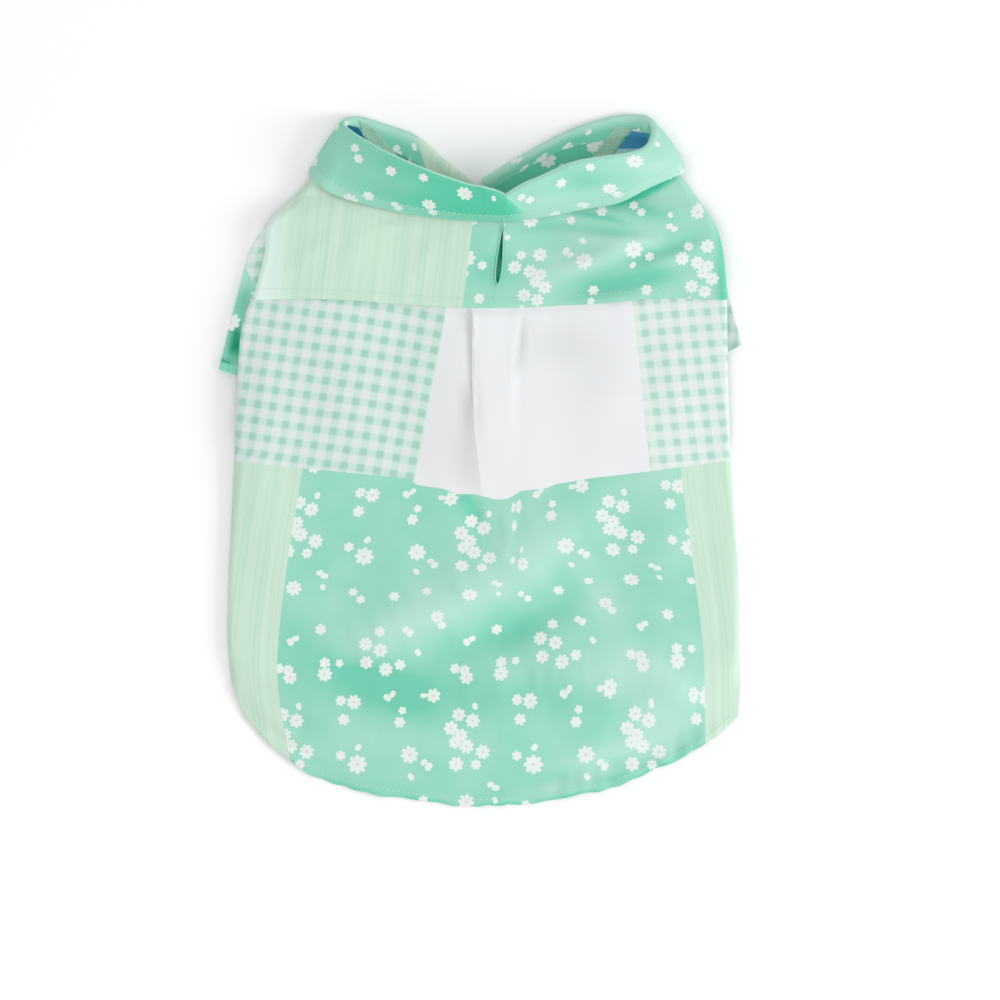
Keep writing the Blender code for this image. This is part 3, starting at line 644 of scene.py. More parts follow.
def add_node(tree, kind, inputs=None, **settings):
    """A node with its settings, and its inputs fed by name or by number."""
    step = tree.nodes.new(kind)
    for title, value in settings.items():
        setattr(step, title, value)
    for label, value in (inputs or {}).items():
        feed(tree, step.inputs[label], value)
    return step


def in_use(sockets):
    """The sockets that a node shows in its present mode."""
    return [socket for socket in sockets if socket.enabled]


def calc(tree, operation, a, b=None, c=None, clamp=False):
    """A Math node's result."""
    step = add_node(tree, "ShaderNodeMath", {0: a, 1: b, 2: c}, operation=operation, use_clamp=clamp)
    return step.outputs[0]


def vector_calc(tree, operation, a, b=None, c=None):
    """A Vector Math node's result, a vector or, for LENGTH and DOT_PRODUCT, a value."""
    step = add_node(tree, "ShaderNodeVectorMath", {0: a, 1: b, 2: c}, operation=operation)
    return step.outputs["Value" if operation in ("LENGTH", "DOT_PRODUCT") else "Vector"]


def scaled(tree, vector, factor):
    """A vector times a number."""
    return add_node(tree, "ShaderNodeVectorMath", {0: vector, "Scale": factor}, operation="SCALE").outputs[0]


def parts_of(tree, vector):
    """A vector's X, Y and Z."""
    return add_node(tree, "ShaderNodeSeparateXYZ", {0: vector}).outputs


def blend(tree, factor, a, b, kind="RGBA"):
    """Mix node: a where the factor is 0, b where it is 1."""
    step = add_node(tree, "ShaderNodeMix", data_type=kind)
    for socket, value in zip(in_use(step.inputs), (factor, a, b)):
        feed(tree, socket, value)
    return in_use(step.outputs)[0]


def use_group(tree, group, **inputs):
    """The outputs of a print's group, with its inputs fed by name."""
    return add_node(tree, "ShaderNodeGroup", inputs, node_tree=group).outputs


def grain(tree, place, scale, detail):
    """Noise between 0 and 1; place may be stretched."""
    inputs = {"Scale": scale, "Detail": detail, "Vector": place}
    return add_node(tree, "ShaderNodeTexNoise", inputs).outputs["Fac"]


print("node helpers made; places on the cloth are in mm")

# %% [markdown]
# ## The flower print
#
# Small white asters are strewn in loose clusters over the green, with lone buds between them. The
# screen that printed them repeats every 88 by 108 mm, so one repeat is charted: the place, size,
# petals and turn of every bloom. Petals as geometry would be far too heavy for flat ink; a chart
# and a formula stay light and sharp. Buds have two petals and no heart.

# %% The flower print
Motif = namedtuple("Motif", "x y size petals turn")
REPEAT_LOW, REPEAT_HIGH = (-75.6, -113.0, -1), (12.4, -5.0, 1)
BUD = 2
BLOOMS = [
    # the long cluster
    (-12.1, -19.2, 7.0, 7, 0.1), (-5.2, -22.2, 7.4, 8, 0.5), (-16, -25.9, 7.4, 7, 0.7),
    (-11.1, -29.4, 7.0, 8, 0.2), (-13.9, -33, 6.6, 7, 0.4), (-8.3, -35, 7.6, 8, 0.8),
    (-0.2, -37.8, 7.6, 8, 0.3), (-3.6, -44.2, 5.4, 7, 0.6), (-13.5, -43.9, 7.6, 7, 0.9),
    # the ring of five
    (-59.3, -91.9, 7.0, 8, 0.2), (-51.9, -95, 7.2, 7, 0.6), (-58.8, -101.1, 6.8, 7, 0.4),
    (-49, -104.6, 7.2, 8, 0.8), (-41.9, -102.3, 5.8, 6, 0.1),
    # pairs and threes
    (-71.1, -12.2, 5.5, 7, 0.3), (-64.6, -12.9, 7.5, 8, 0.7), (-40.3, -17.1, 4.2, 5, 0.2),
    (-41.6, -22.9, 5.8, 6, 0.5), (-66.7, -64.3, 4.8, 6, 0.9), (-62.8, -68.3, 5.0, 6, 0.3),
    (-24, -77.3, 7.2, 8, 0.1), (-21.5, -82, 4.8, 6, 0.6), (-14.3, -104.2, 5.4, 6, 0.4),
    (-9.6, -105, 5.6, 7, 0.8), (-8.6, -108.6, 7.0, 7, 0.2), (8.5, -101.4, 5.8, 6, 0.7),
    (8.6, -107, 7.6, 8, 0.4), (-72.2, -101.5, 4.2, 5, 0.1),
    # lone blooms
    (-69.5, -21.6, 6.0, 6, 0.6), (-71.1, -39.7, 5.2, 6, 0.2), (-62.8, -44.1, 9.8, 8, 0.5),
    (-36.7, -39.2, 9.0, 8, 0.9), (-25, -9.7, 7.4, 7, 0.3), (-29.9, -62, 5.0, 6, 0.7),
    (-8.5, -63, 8.2, 8, 0.1), (-46, -66, 5.8, 6, 0.5), (-52.4, -85.4, 5.6, 6, 0.8),
    (6, -84.5, 5.8, 6, 0.2),
]
BUDS = [
    (-4.1, -15, 3.6, 0.2), (-62.3, -35.5, 3.8, 0.35), (-36, -50.3, 3.8, 0.15), (6, -62, 3.4, 0.2),
    (-33.1, -96.1, 3.8, 0.15), (-29.9, -9.7, 3.2, 0.0), (-47.9, -10.7, 4.2, 0.1),
    (-45.3, -8.9, 3.6, 0.35), (-29.5, -43, 3.6, 0.4), (-27.2, -45.2, 4.4, 0.85),
    (3.8, -54.2, 3.6, 0.45), (6.3, -55.8, 4.0, 0.0), (-39.6, -84.4, 3.6, 0.4),
    (-37.3, -86.2, 4.2, 0.85), (-9, -90.9, 4.0, 0.15), (-6.4, -89.2, 3.8, 0.95),
]
MOTIFS = [Motif(*row) for row in BLOOMS] + [Motif(x, y, size, BUD, turn) for x, y, size, turn in BUDS]
print(len(MOTIFS), "blooms and buds in one repeat")

# %% [markdown]
# For each point the nearest bloom, measured in its own radii, is found by a running minimum. Its
# petals and turn travel along as the third part of the same vector, so one petal formula at the
# end draws whichever bloom won: as many lobes as petals, and a heart with short rays.

# %% One formula for every bloom
CODE, TURN_SHARE = 0.001, 0.9         # how petals and turn are packed in one small number
FAR_AWAY = 9.0                        # further than any bloom reaches, in radii
TIP, GAP = 0.8, 0.36                  # roundness of the tips, depth of the gaps between petals
PETAL_EDGE, HEART_EDGE = 9.0, 7.0     # how sharply the ink ends
HEART, RAYS, RAY_POWER = 0.1, 0.2, 4.0
FEWEST_WITH_HEART = 6.5


def nearest_bloom(tree, place):
    """Distance to the nearest bloom, and the place inside it with its petals and turn."""
    nearest, chosen = FAR_AWAY, (FAR_AWAY, FAR_AWAY, 0)
    for motif in MOTIFS:
        k = 2 / motif.size
        code = CODE * (motif.petals + TURN_SHARE * motif.turn)
        inside = vector_calc(tree, "MULTIPLY_ADD", place, (k, k, 0), (-motif.x * k, -motif.y * k, code))
        away = vector_calc(tree, "LENGTH", inside)
        chosen = blend(tree, calc(tree, "LESS_THAN", away, nearest), chosen, inside, "VECTOR")
        nearest = calc(tree, "MINIMUM", away, nearest)
    return nearest, parts_of(tree, chosen)


def aster_print():
    """Masks of the petals and of the hearts, from a place on the cloth in millimetres."""
    tree, given, result = new_group("aster_print", {"Place": "Vector"},
                                    {"Petals": "Float", "Hearts": "Float"})
    place = vector_calc(tree, "WRAP", given.outputs["Place"], REPEAT_HIGH, REPEAT_LOW)
    place = vector_calc(tree, "MULTIPLY", place, (1, 1, 0))
    nearest, inside = nearest_bloom(tree, place)
    code = calc(tree, "MULTIPLY", inside["Z"], 1 / CODE)
    petals = calc(tree, "FLOOR", code)
    turn = calc(tree, "MULTIPLY", calc(tree, "FRACT", code), 2 * math.pi / TURN_SHARE)
    angle = calc(tree, "ARCTAN2", inside["Y"], inside["X"])
    wave = calc(tree, "COSINE", calc(tree, "MULTIPLY_ADD", angle, calc(tree, "MULTIPLY", petals, 0.5), turn))
    lobe = calc(tree, "POWER", calc(tree, "ABSOLUTE", wave), TIP)
    reach = calc(tree, "MULTIPLY_ADD", lobe, GAP, 1 - GAP)
    inside_petal = calc(tree, "SUBTRACT", reach, nearest)
    petal_mask = calc(tree, "MULTIPLY_ADD", inside_petal, PETAL_EDGE, 0.5, clamp=True)
    heart_reach = calc(tree, "MULTIPLY_ADD", calc(tree, "POWER", lobe, RAY_POWER), RAYS, HEART)
    heart = calc(tree, "MULTIPLY", calc(tree, "SUBTRACT", heart_reach, nearest), HEART_EDGE, clamp=True)
    heart = calc(tree, "MULTIPLY", heart, calc(tree, "GREATER_THAN", petals, FEWEST_WITH_HEART))
    tree.links.new(petal_mask, result.inputs["Petals"])
    tree.links.new(heart, result.inputs["Hearts"])
    return tree


ASTERS = aster_print()
print("flower print:", len(ASTERS.nodes), "nodes")

# %% [markdown]
# ## Gingham, slub stripes and the weave
#
# The gingham is printed, not woven: two sets of bands, and where they cross the green is twice as
# deep. The stripes are thin, uneven and only a little paler or deeper than their ground, like slub
# yarn. All the cloth is one plain weave, which shows as a faint bump and as tiny tone changes.

# %% Gingham, slub stripes and the weave
GINGHAM_BAND, BAND_EDGE = 0.47, 6.5      # share of the ground that a band covers, how sharp it ends
Slub = namedtuple("Slub", "stretch scale detail contrast")
SLUBS = [Slub(0.012, 0.8, 1.0, 5.0), Slub(0.01, 0.2, 0.0, 3.0)]      # fine streaks, broad streaks
SLUB_STRENGTH = 0.42
THREAD_STEP = 0.45
THREAD_HEIGHT, UNEVEN_HEIGHT = 0.35, 1.6


def gingham_print():
    """Depth of the check: 0, 0.5 or 1. Rows and Columns are the directions across the bands."""
    inputs = {"Place": "Vector", "Rows": "Vector", "Columns": "Vector"}
    tree, given, result = new_group("gingham_print", inputs, {"Depth": "Float"})
    bands = []
    for label in ("Rows", "Columns"):
        count = vector_calc(tree, "DOT_PRODUCT", given.outputs["Place"], given.outputs[label])
        off_middle = calc(tree, "ABSOLUTE", calc(tree, "SUBTRACT", calc(tree, "FRACT", count), 0.5))
        inside = calc(tree, "SUBTRACT", GINGHAM_BAND / 2, off_middle)
        bands.append(calc(tree, "MULTIPLY_ADD", inside, BAND_EDGE, 0.5, clamp=True))
    tree.links.new(calc(tree, "MULTIPLY", calc(tree, "ADD", *bands), 0.5), result.inputs["Depth"])
    return tree


def slub_stripes():
    """Thin uneven stripes along Y, between -1 and 1."""
    tree, given, result = new_group("slub_stripes", {"Place": "Vector"}, {"Tone": "Float"})
    streaks = []
    for slub in SLUBS:
        drawn = vector_calc(tree, "MULTIPLY", given.outputs["Place"], (1, slub.stretch, 1))
        noise_there = grain(tree, drawn, slub.scale, slub.detail)
        streaks.append(calc(tree, "MULTIPLY_ADD", noise_there, slub.contrast, -slub.contrast / 2))
    tone = calc(tree, "MULTIPLY", calc(tree, "ADD", *streaks), SLUB_STRENGTH)
    tree.links.new(tone, result.inputs["Tone"])
    return tree


def plain_weave():
    """Height of a plain weave, and a soft unevenness of its yarn."""
    tree, given, result = new_group("plain_weave", {"Place": "Vector"}, {"Height": "Float"})
    threads = parts_of(tree, scaled(tree, given.outputs["Place"], math.pi / THREAD_STEP))
    weave = calc(tree, "MULTIPLY", *[calc(tree, "SINE", threads[axis]) for axis in ("X", "Y")])
    uneven = grain(tree, given.outputs["Place"], 0.9, 3.0)
    height = calc(tree, "MULTIPLY_ADD", uneven, UNEVEN_HEIGHT, calc(tree, "MULTIPLY", weave, THREAD_HEIGHT))
    tree.links.new(height, result.inputs["Height"])
    return tree


GINGHAM, STRIPES, WEAVE = gingham_print(), slub_stripes(), plain_weave()
print("gingham, stripes and weave:", [len(group.nodes) for group in (GINGHAM, STRIPES, WEAVE)], "nodes")

# %% [markdown]
# ## Dyes
#
# Colours are written down as they are seen in even light, then divided by the light's level to get
# the cloth's own colour. Some of them are painted light and shade: a deeper green and a greyer white
# are painted shade in folds, creases and gaps, a paler green is painted light on a shaded edge, and
# another pale green serves both the worn hem and a painted highlight along the collar's roll.

# %% Dyes
LIGHT_LEVEL = 1.12
# The first two greens are the ground's two ends, between which random clouds and painted light and shade move
# it; the third green is painted shade.
GREEN_PALE, GREEN_DEEP, GREEN_PAINTED_SHADE = (184, 230, 212), (118, 208, 181), (74, 206, 167)
# Here the first green is painted shade on the sleeves, the second a painted light on the yoke's edge, and the
# third both the worn hem's green and a painted highlight on the collar's roll.
GREEN_SHADOW, GREEN_PAINTED_LIGHT, GREEN_WORN_AND_HIGHLIGHT = (34, 152, 112), (226, 246, 237), (190, 232, 214)
# The second white is painted shade in the folds of the white patch.
WHITE, WHITE_PAINTED_SHADE, PETAL, HEART_WHITE = (237, 240, 242), (204, 207, 206), (231, 240, 235), (198, 205, 205)
CHECK_TONES = [(225, 231, 228), (202, 229, 218), (167, 212, 194)]
CHECK_PALE = [(232, 237, 234), (213, 235, 226), (181, 219, 205)]       # where the print has gone pale
STRIPE_TONES = [(186, 222, 199), (214, 236, 218)]
EDGE_WEAR = 0.28                      # how far an ironed edge has gone pale


def linear(value):
    """A value from 0 to 255 as its share of light."""
    return ((value / 255 + 0.055) / 1.055) ** 2.4


def dye(red, green, blue):
    """The base colour that looks like the given one in this light."""
    return (*[linear(value) / LIGHT_LEVEL for value in (red, green, blue)], 1)


print("green where it is palest:", [round(part, 3) for part in dye(*GREEN_PALE)[:3]])

# %% [markdown]
# ## One builder for every printed cotton
#
# The patchwork is printed on one cloth, so one builder serves every piece: it starts from the
# ground that the piece is mostly made of and lays the other patches over it wherever the stored
# distance to a border says so. The finish is the same everywhere: matt, with the weave as a bump.

# %% The cotton builder
ROUGHNESS, SPECULAR = 0.95, 0.12
WEAVE_BUMP, WEAVE_DEPTH = 0.09, 0.0002
PRINT_EDGE = 0.45                     # softness of a printed border, mm
CLOUD_SCALE, CLOUD_STRENGTH, CLOUD_LEVEL = 0.035, 0.7, 0.13
Check = namedtuple("Check", "rows columns shift period tones")


def bands_across(angle, period):
    """The vector that counts bands lying square to a direction, given in degrees."""
    return (math.cos(math.radians(angle)) / period, math.sin(math.radians(angle)) / period, 0)


class Cotton:
    """A cloth material under construction: a colour that patches are laid over."""

    def __init__(self, name):
        self.material = bpy.data.materials.new(name)
        self.material.use_nodes = True
        self.tree = self.material.node_tree
        self.shader = self.tree.nodes["Principled BSDF"]
        self.shader.inputs["Roughness"].default_value = ROUGHNESS
        self.shader.inputs["Specular IOR Level"].default_value = SPECULAR
        cut = add_node(self.tree, "ShaderNodeUVMap", uv_map="cut")
        self.place = vector_calc(self.tree, "MULTIPLY", cut.outputs[0], (1 / MM, 1 / MM, 0))
        self.colour = None

    def mark(self, title):
        """A number kept at the cloth's points."""
        return add_node(self.tree, "ShaderNodeAttribute", attribute_name=title).outputs["Fac"]

    def flowers(self, shade_colour=GREEN_PAINTED_SHADE):
        """The flower print on its cloudy ground, with painted light and shade from the cloth's marks."""
        masks = use_group(self.tree, ASTERS, Place=self.place)
        clouds = grain(self.tree, self.place, CLOUD_SCALE, 2.0)
        clouds = calc(self.tree, "MULTIPLY_ADD", clouds, CLOUD_STRENGTH, CLOUD_LEVEL)
        # The tone mark moves the ground between its greens over the random clouds; on the back, the yoke and
        # the collar it carries painted light and shade.
        amount = calc(self.tree, "MULTIPLY_ADD", self.mark("tone"), 0.5, clouds, clamp=True)
        ground = blend(self.tree, amount, dye(*GREEN_DEEP), dye(*GREEN_PALE))
        # The first mask here is painted shade in folds, creases and gaps; petals and hearts are print.
        for mask, colour in ((self.mark("painted_shade"), shade_colour), (masks["Petals"], PETAL),
                             (masks["Hearts"], HEART_WHITE)):
            ground = blend(self.tree, mask, ground, dye(*colour))
        return ground

    def stripes(self, border=None):
        """Stripes along the cut, or, for a sewn-in look, along a border of their patch."""
        place = self.place
        if border is not None:
            sides = {"X": self.mark(border), "Y": parts_of(self.tree, self.place)["Y"]}
            place = add_node(self.tree, "ShaderNodeCombineXYZ", sides).outputs[0]
        tone = use_group(self.tree, STRIPES, Place=place)["Tone"]
        tone = calc(self.tree, "MULTIPLY_ADD", tone, 0.5, 0.5, clamp=True)
        return blend(self.tree, tone, *[dye(*colour) for colour in STRIPE_TONES])

    def gingham(self, check):
        """Bare cloth, one band of ink, or two where the bands cross."""
        moved = vector_calc(self.tree, "ADD", self.place, (*check.shift, 0))
        depth = use_group(self.tree, GINGHAM, Place=moved, Rows=bands_across(check.rows, check.period),
                          Columns=bands_across(check.columns, check.period))["Depth"]
        bare, once, twice = (dye(*colour) for colour in check.tones)
        single = blend(self.tree, calc(self.tree, "MULTIPLY", depth, 2.0, clamp=True), bare, once)
        double = calc(self.tree, "MULTIPLY_ADD", depth, 2.0, -1.0, clamp=True)
        return blend(self.tree, double, single, twice)

    def lay(self, colour, *titles):
        """Lays a colour over the cloth inside all the named borders."""
        if self.colour is None:
            self.colour = colour
            return self
        inside = 1.0
        for title in titles:
            border = calc(self.tree, "DIVIDE", self.mark(title), PRINT_EDGE)
            inside = calc(self.tree, "MULTIPLY", inside, calc(self.tree, "ADD", border, 0.5, clamp=True))
        self.colour = blend(self.tree, inside, self.colour, colour)
        return self

    def finish(self, gain=1.0):
        """Hands the colour and the weave's bump to the shader; a gain above 1 paints light over the whole
        cloth, one below 1 paints shade.
        """
        if gain != 1.0:
            self.colour = vector_calc(self.tree, "MULTIPLY", self.colour, (gain, gain, gain))
        feed(self.tree, self.shader.inputs["Base Color"], self.colour)
        height = use_group(self.tree, WEAVE, Place=self.place)["Height"]
        relief = {"Strength": WEAVE_BUMP, "Distance": WEAVE_DEPTH, "Height": height}
        relief = add_node(self.tree, "ShaderNodeBump", relief)
        feed(self.tree, self.shader.inputs["Normal"], relief.outputs[0])
        return self.material


print("printed borders are", PRINT_EDGE, "mm soft")

# %% [markdown]
# ## The cottons
#
# The back has the whole patchwork: flowers, a strip of slub stripes at either side, a band of two
# ginghams and white. The yoke, the collar and the sleeves are mostly flowers. Binding, tapes and
# threads are dyed plain.

# %% The cottons
BACK_CHECK = Check(86, -10.5, (-5.7, 1.3), 8.2, CHECK_TONES)
BACK_CHECK_RIGHT = Check(94, 8, (4, 2.9), 7.95, CHECK_PALE)
SLEEVE_CHECK = Check(70, -25, (0, 0), 7.85, CHECK_TONES)


def back_cotton():
    cloth = Cotton("back_print")
    cloth.lay(cloth.flowers())
    cloth.lay(cloth.stripes("strip_left"), "strip_left")
    cloth.lay(cloth.stripes("strip_right"), "strip_right")
    cloth.lay(cloth.gingham(BACK_CHECK), "band")
    cloth.lay(cloth.gingham(BACK_CHECK_RIGHT), "band", "right_side")
    # The white takes painted shade beside the pleat's folds and on its left.
    white = blend(cloth.tree, cloth.mark("fold"), dye(*WHITE), dye(*WHITE_PAINTED_SHADE))
    cloth.lay(white, "band", "white_left", "white_right")
    return cloth.finish()


def yoke_cotton():
    cloth = Cotton("yoke_print")
    cloth.lay(cloth.flowers())
    stripes = cloth.stripes("stripes")
    # Towards the left side the stripes turn to a painted light, so that the rolled edge there shows no shade.
    cloth.lay(blend(cloth.tree, cloth.mark("side"), stripes, dye(*GREEN_PAINTED_LIGHT)), "stripes")
    return cloth.finish()


def collar_cotton():
    cloth = Cotton("collar_print")
    cloth.lay(cloth.flowers())
    cloth.lay(cloth.stripes(), "pale")
    worn = blend(cloth.tree, EDGE_WEAR, cloth.colour, dye(*GREEN_WORN_AND_HIGHLIGHT))
    cloth.lay(worn, "hem")
    # A thin painted highlight along the roll.
    cloth.lay(dye(*GREEN_WORN_AND_HIGHLIGHT), "roll")
    return cloth.finish()


def sleeve_cotton(gain):
    cloth = Cotton("sleeve_print")
    cloth.lay(cloth.flowers(GREEN_SHADOW))
    cloth.lay(cloth.gingham(SLEEVE_CHECK), "check")
    return cloth.finish(gain=gain)


def plain_cotton(name, colour):
    cloth = Cotton(name)
    cloth.lay(dye(*colour))
    return cloth.finish()


def dress(piece, material):
    """Gives a piece its cloth."""
    piece.data.materials.clear()
    piece.data.materials.append(material)


print("gingham periods, mm:", [check.period for check in (BACK_CHECK, BACK_CHECK_RIGHT, SLEEVE_CHECK)])



# %% [markdown]
# ## The collar
#
# The collar is one strip folded along its roll: a stand that grows out of the neck seam and a leaf
# that falls over it. It is swept through named sections, each with its roll, its neck seam and its
# edge, so the near half stands up round the neck and the far half lies flat under the fronts.
# A bent plane would do for a flat leaf, but not for one that turns over at both shoulders.

# %% Sections along the neck
NAPE_STEPS, SIDE_STEPS = 20, 9      # rows between two sections, at the nape and elsewhere


def section_axes(rows, k):
    """Out past the roll, and from the stand to the leaf, at row k of the collar."""
    roll, neck, edge = (Vector(p) for p in rows[k])
    before, after = Vector(rows[max(k - 1, 0)].roll), Vector(rows[min(k + 1, len(rows) - 1)].roll)
    out = (roll - (neck + edge) / 2).normalized()
    return out, (after - before).cross(out).normalized()


def neck_edge(first, last):
    """The body's neck edge: the collar's neck seam, moved down its stand by the seam's gap."""
    points = []
    for k in range(first, last + 1):
        roll, neck = Vector(COLLAR[k].roll), Vector(COLLAR[k].neck)
        along = (neck - roll).normalized()
        outside = section_axes(COLLAR, k)[1]
        outside = (outside - along * outside.dot(along)).normalized()
        points.append(neck + along * SEAM_GAP + outside * CAD_WALL / 2)
    return points


def dense_sections():
    """The collar's sections, closer together and closest at the nape."""
    flat = [np.array(s.roll + s.neck + s.edge, float) for s in COLLAR]
    padded = [flat[0]] + flat + [flat[-1]]
    dense = []
    for k in range(len(flat) - 1):
        steps = NAPE_STEPS if NAPE_FIRST + 3 < k < NAPE_LAST - 4 else SIDE_STEPS
        dense += [between(*padded[k:k + 4], j / steps) for j in range(steps)]
    dense.append(flat[-1])
    return [Section(tuple(r[0:3]), tuple(r[3:6]), tuple(r[6:9])) for r in dense]


print("rows along the collar:", len(dense_sections()))

# %% [markdown]
# A section goes up the stand, round the roll in a half circle and down the leaf, which is a little
# crowned where it stands free. Where the collar lies flat, the stand starts further down, so that
# it covers its own neck seam.

# %% One section of the collar
STAND, ARC, LEAF = 5, 9, 16         # points up the stand, round the roll and down the leaf
ROLL = STAND + ARC // 2             # the point of a section that lies on the roll
SEAM_LAP, LAP_CLEAR = 3.4, 0.25     # how far the far stand covers its neck seam, and how high over it


def collar_path(rows, k):
    """One section: up the stand, round the roll, down the leaf."""
    roll, neck, edge = (Vector(p) for p in rows[k])
    out, apart = section_axes(rows, k)
    middle = roll - out * FOLD_REACH
    foot = middle - apart * FOLD_HALF
    flat = 1 - smooth_step((roll.z - 5) / 6)
    start = neck + (neck - foot).normalized() * SEAM_LAP * flat + Vector((0, 0, LAP_CLEAR * flat))
    path = [start] + [neck.lerp(foot, u / STAND) for u in range(1, STAND)]
    for j in range(ARC):
        turn = math.radians(-90 + 180 * j / (ARC - 1))
        path.append(middle + out * FOLD_REACH * math.cos(turn) + apart * FOLD_HALF * math.sin(turn))
    crown = LEAF_BULGE * min(1.0, max(0.0, (roll.z - 3) / 8))
    start = path[-1]
    for j in range(1, LEAF + 1):
        u = j / LEAF
        path.append(start.lerp(edge, u) + apart * crown * math.sin(math.pi * u))
    return path


def down_from_roll(grid):
    """How far each point lies down the leaf from the roll; the stand counts below 0."""
    down = np.zeros(grid.shape[:2])
    down[:, 1:] = np.cumsum(np.linalg.norm(np.diff(grid, axis=1), axis=-1), axis=1)
    return down - down[:, ROLL][:, None]


print("points in a section:", STAND + ARC + LEAF)

# %% [markdown]
# At the nape the collar dips in a shallow notch, and the left half laps over the right one in a
# small tuck that runs out down the leaf. Both are added to the swept grid, with the leaf's soft
# creases and the ridge of its turned edge.

# %% Notch, tuck and creases
NOTCH_X, NOTCH_LEFT, NOTCH_RIGHT, NOTCH_DEPTH = 11.5, 7.0, 13.0, 3.4
NAPE_RISE, NAPE_REACH, NAPE_DEPTH = 1.0, 4.5, 9
TUCK_START, TUCK_END, TUCK_STEP = (1.5, 137.2), (17.5, 125.6), 2.9
TUCK_EDGE, TUCK_REACH, TUCK_TOP = 1.2, 9, 139
LEAF_HEM, HEM_RIDGE, HEM_SOFT = 5.0, 0.3, 1.1       # the turned edge of the leaf
LEAF_CREASES = folds(
    (-70, 146, -50, 141, -24, 131, 4, 0.5), (-60, 135, -34, 128, -8, 124, 3, -0.35),
    (34, 133, 52, 138, 74, 141, 4, -0.5), (24, 126, 44, 130, 66, 133, 3.5, 0.45),
    (70, 146, 84, 146, 95, 148, 4, 0.6),
)


def from_leaf_edge(down):
    """How far each point lies from the leaf's edge."""
    return down[:, -1][:, None] - down


def collar_grid():
    """The collar's grid of points and how far each lies down from the roll."""
    rows = dense_sections()
    grid = np.array([[tuple(p) for p in collar_path(rows, k)] for k in range(len(rows))])
    down = down_from_roll(grid)
    along = grid[:, ROLL, 0]
    away = along - NOTCH_X
    notch = np.clip(1 - np.where(away < 0, -away / NOTCH_LEFT, away / NOTCH_RIGHT), 0, 1) ** 2
    dip = (NAPE_RISE * bell(along, NAPE_REACH) - NOTCH_DEPTH * notch) * ramp(grid[:, ROLL, 2], 12, 8)
    grid[..., 1] += dip[:, None] * np.exp(-np.abs(down) / NAPE_DEPTH)
    x, y, z = grid[..., 0], grid[..., 1], grid[..., 2]
    lower = side_of([TUCK_START, TUCK_END], x, y)
    run = np.clip((x - TUCK_START[0]) / (TUCK_END[0] - TUCK_START[0]), -1, 1.4)
    fade = np.clip(1.25 - run, 0, 1) * np.clip(1 + run * 1.6, 0, 1)
    tuck = TUCK_STEP * np.clip(lower / TUCK_EDGE + 0.3, 0, 1) * fade
    tuck = tuck * np.exp(-np.clip(lower, 0, 40) / TUCK_REACH)
    rise = tuck * (y < TUCK_TOP) + creases(LEAF_CREASES, x, y) + ripples(x, y, 14, 0.35, 4.1)
    rise += HEM_RIDGE * bell(from_leaf_edge(down) - LEAF_HEM, HEM_SOFT)
    grid[..., 2] = z + ramp(z, 7, 3) * rise
    return grid, down


collar_rows, collar_down = collar_grid()
print("collar's highest point, mm:", round(collar_rows[..., 2].max(), 1))

# %% [markdown]
# The leaf is painted palest where it faces the light. Its left half gets painted shade from the tuck,
# and the inner face is painted deeper the further it goes down the neck. The far half is partly cut
# from the pale stripes. Ironed edges are worn, and the roll has a thin painted highlight.

# %% Light, shade and wear on the collar
COLLAR_WALL = 0.9
PRINT_AT_ROLL, PRINT_STRETCH = -57.0, 1.12      # the line of the print that lies on the roll
PALE_EDGE = [(-33, 168), (-33, 161.5), (-27, 141)]
OUTSIDE, FAR_OUTSIDE = -5.0, -9.0               # marks well outside any border
LEAF_FACE = -1.5                                # points beyond it belong to the leaf
CLOTH_SHARE, EDGE_SHARE, SEAM_SHARE = 0.72, 1.0, 0.3


def collar_cut(grid, down):
    """The collar's strip: along the roll from the nape, and down from the roll."""
    along = np.concatenate([[0], np.cumsum(np.linalg.norm(np.diff(grid[:, ROLL], axis=0), axis=-1))])
    nape = np.argmin(np.abs(grid[:, ROLL, 0]) + 50 * (grid[:, ROLL, 2] < 15))
    along = np.broadcast_to((along - along[nape])[:, None], down.shape)
    return np.stack([along, PRINT_AT_ROLL - PRINT_STRETCH * down], -1)


def left_of_tuck(x, y, end):
    """The left half of the leaf, up to the tuck."""
    return ramp(side_of([TUCK_START, TUCK_END], x, y), -0.6, 1.2) * ramp(x, end, -8)


def collar_tone(x, y, down, far):
    """Paler where the leaf faces the light, deeper on its shaded half and down inside the neck."""
    shaded = left_of_tuck(x, y, 24)
    leaf = (0.25 + 0.3 * ramp(x, 70, 14)) * (1 - shaded)
    leaf = leaf - shaded * (0.9 - 0.75 * ramp(x, -30, -34))
    leaf = leaf - 0.5 * np.exp(-(((x - 52) / 15) ** 2 + ((y - 139) / 5) ** 2))
    inside = 0.8 - 0.8 * ramp(down, -3, -5)
    tone = np.where(down > LEAF_FACE, leaf, -0.6)
    return np.clip(np.where(far > 0, inside, tone) + 0.6 * creases(LEAF_CREASES, x, y), -1, 1)


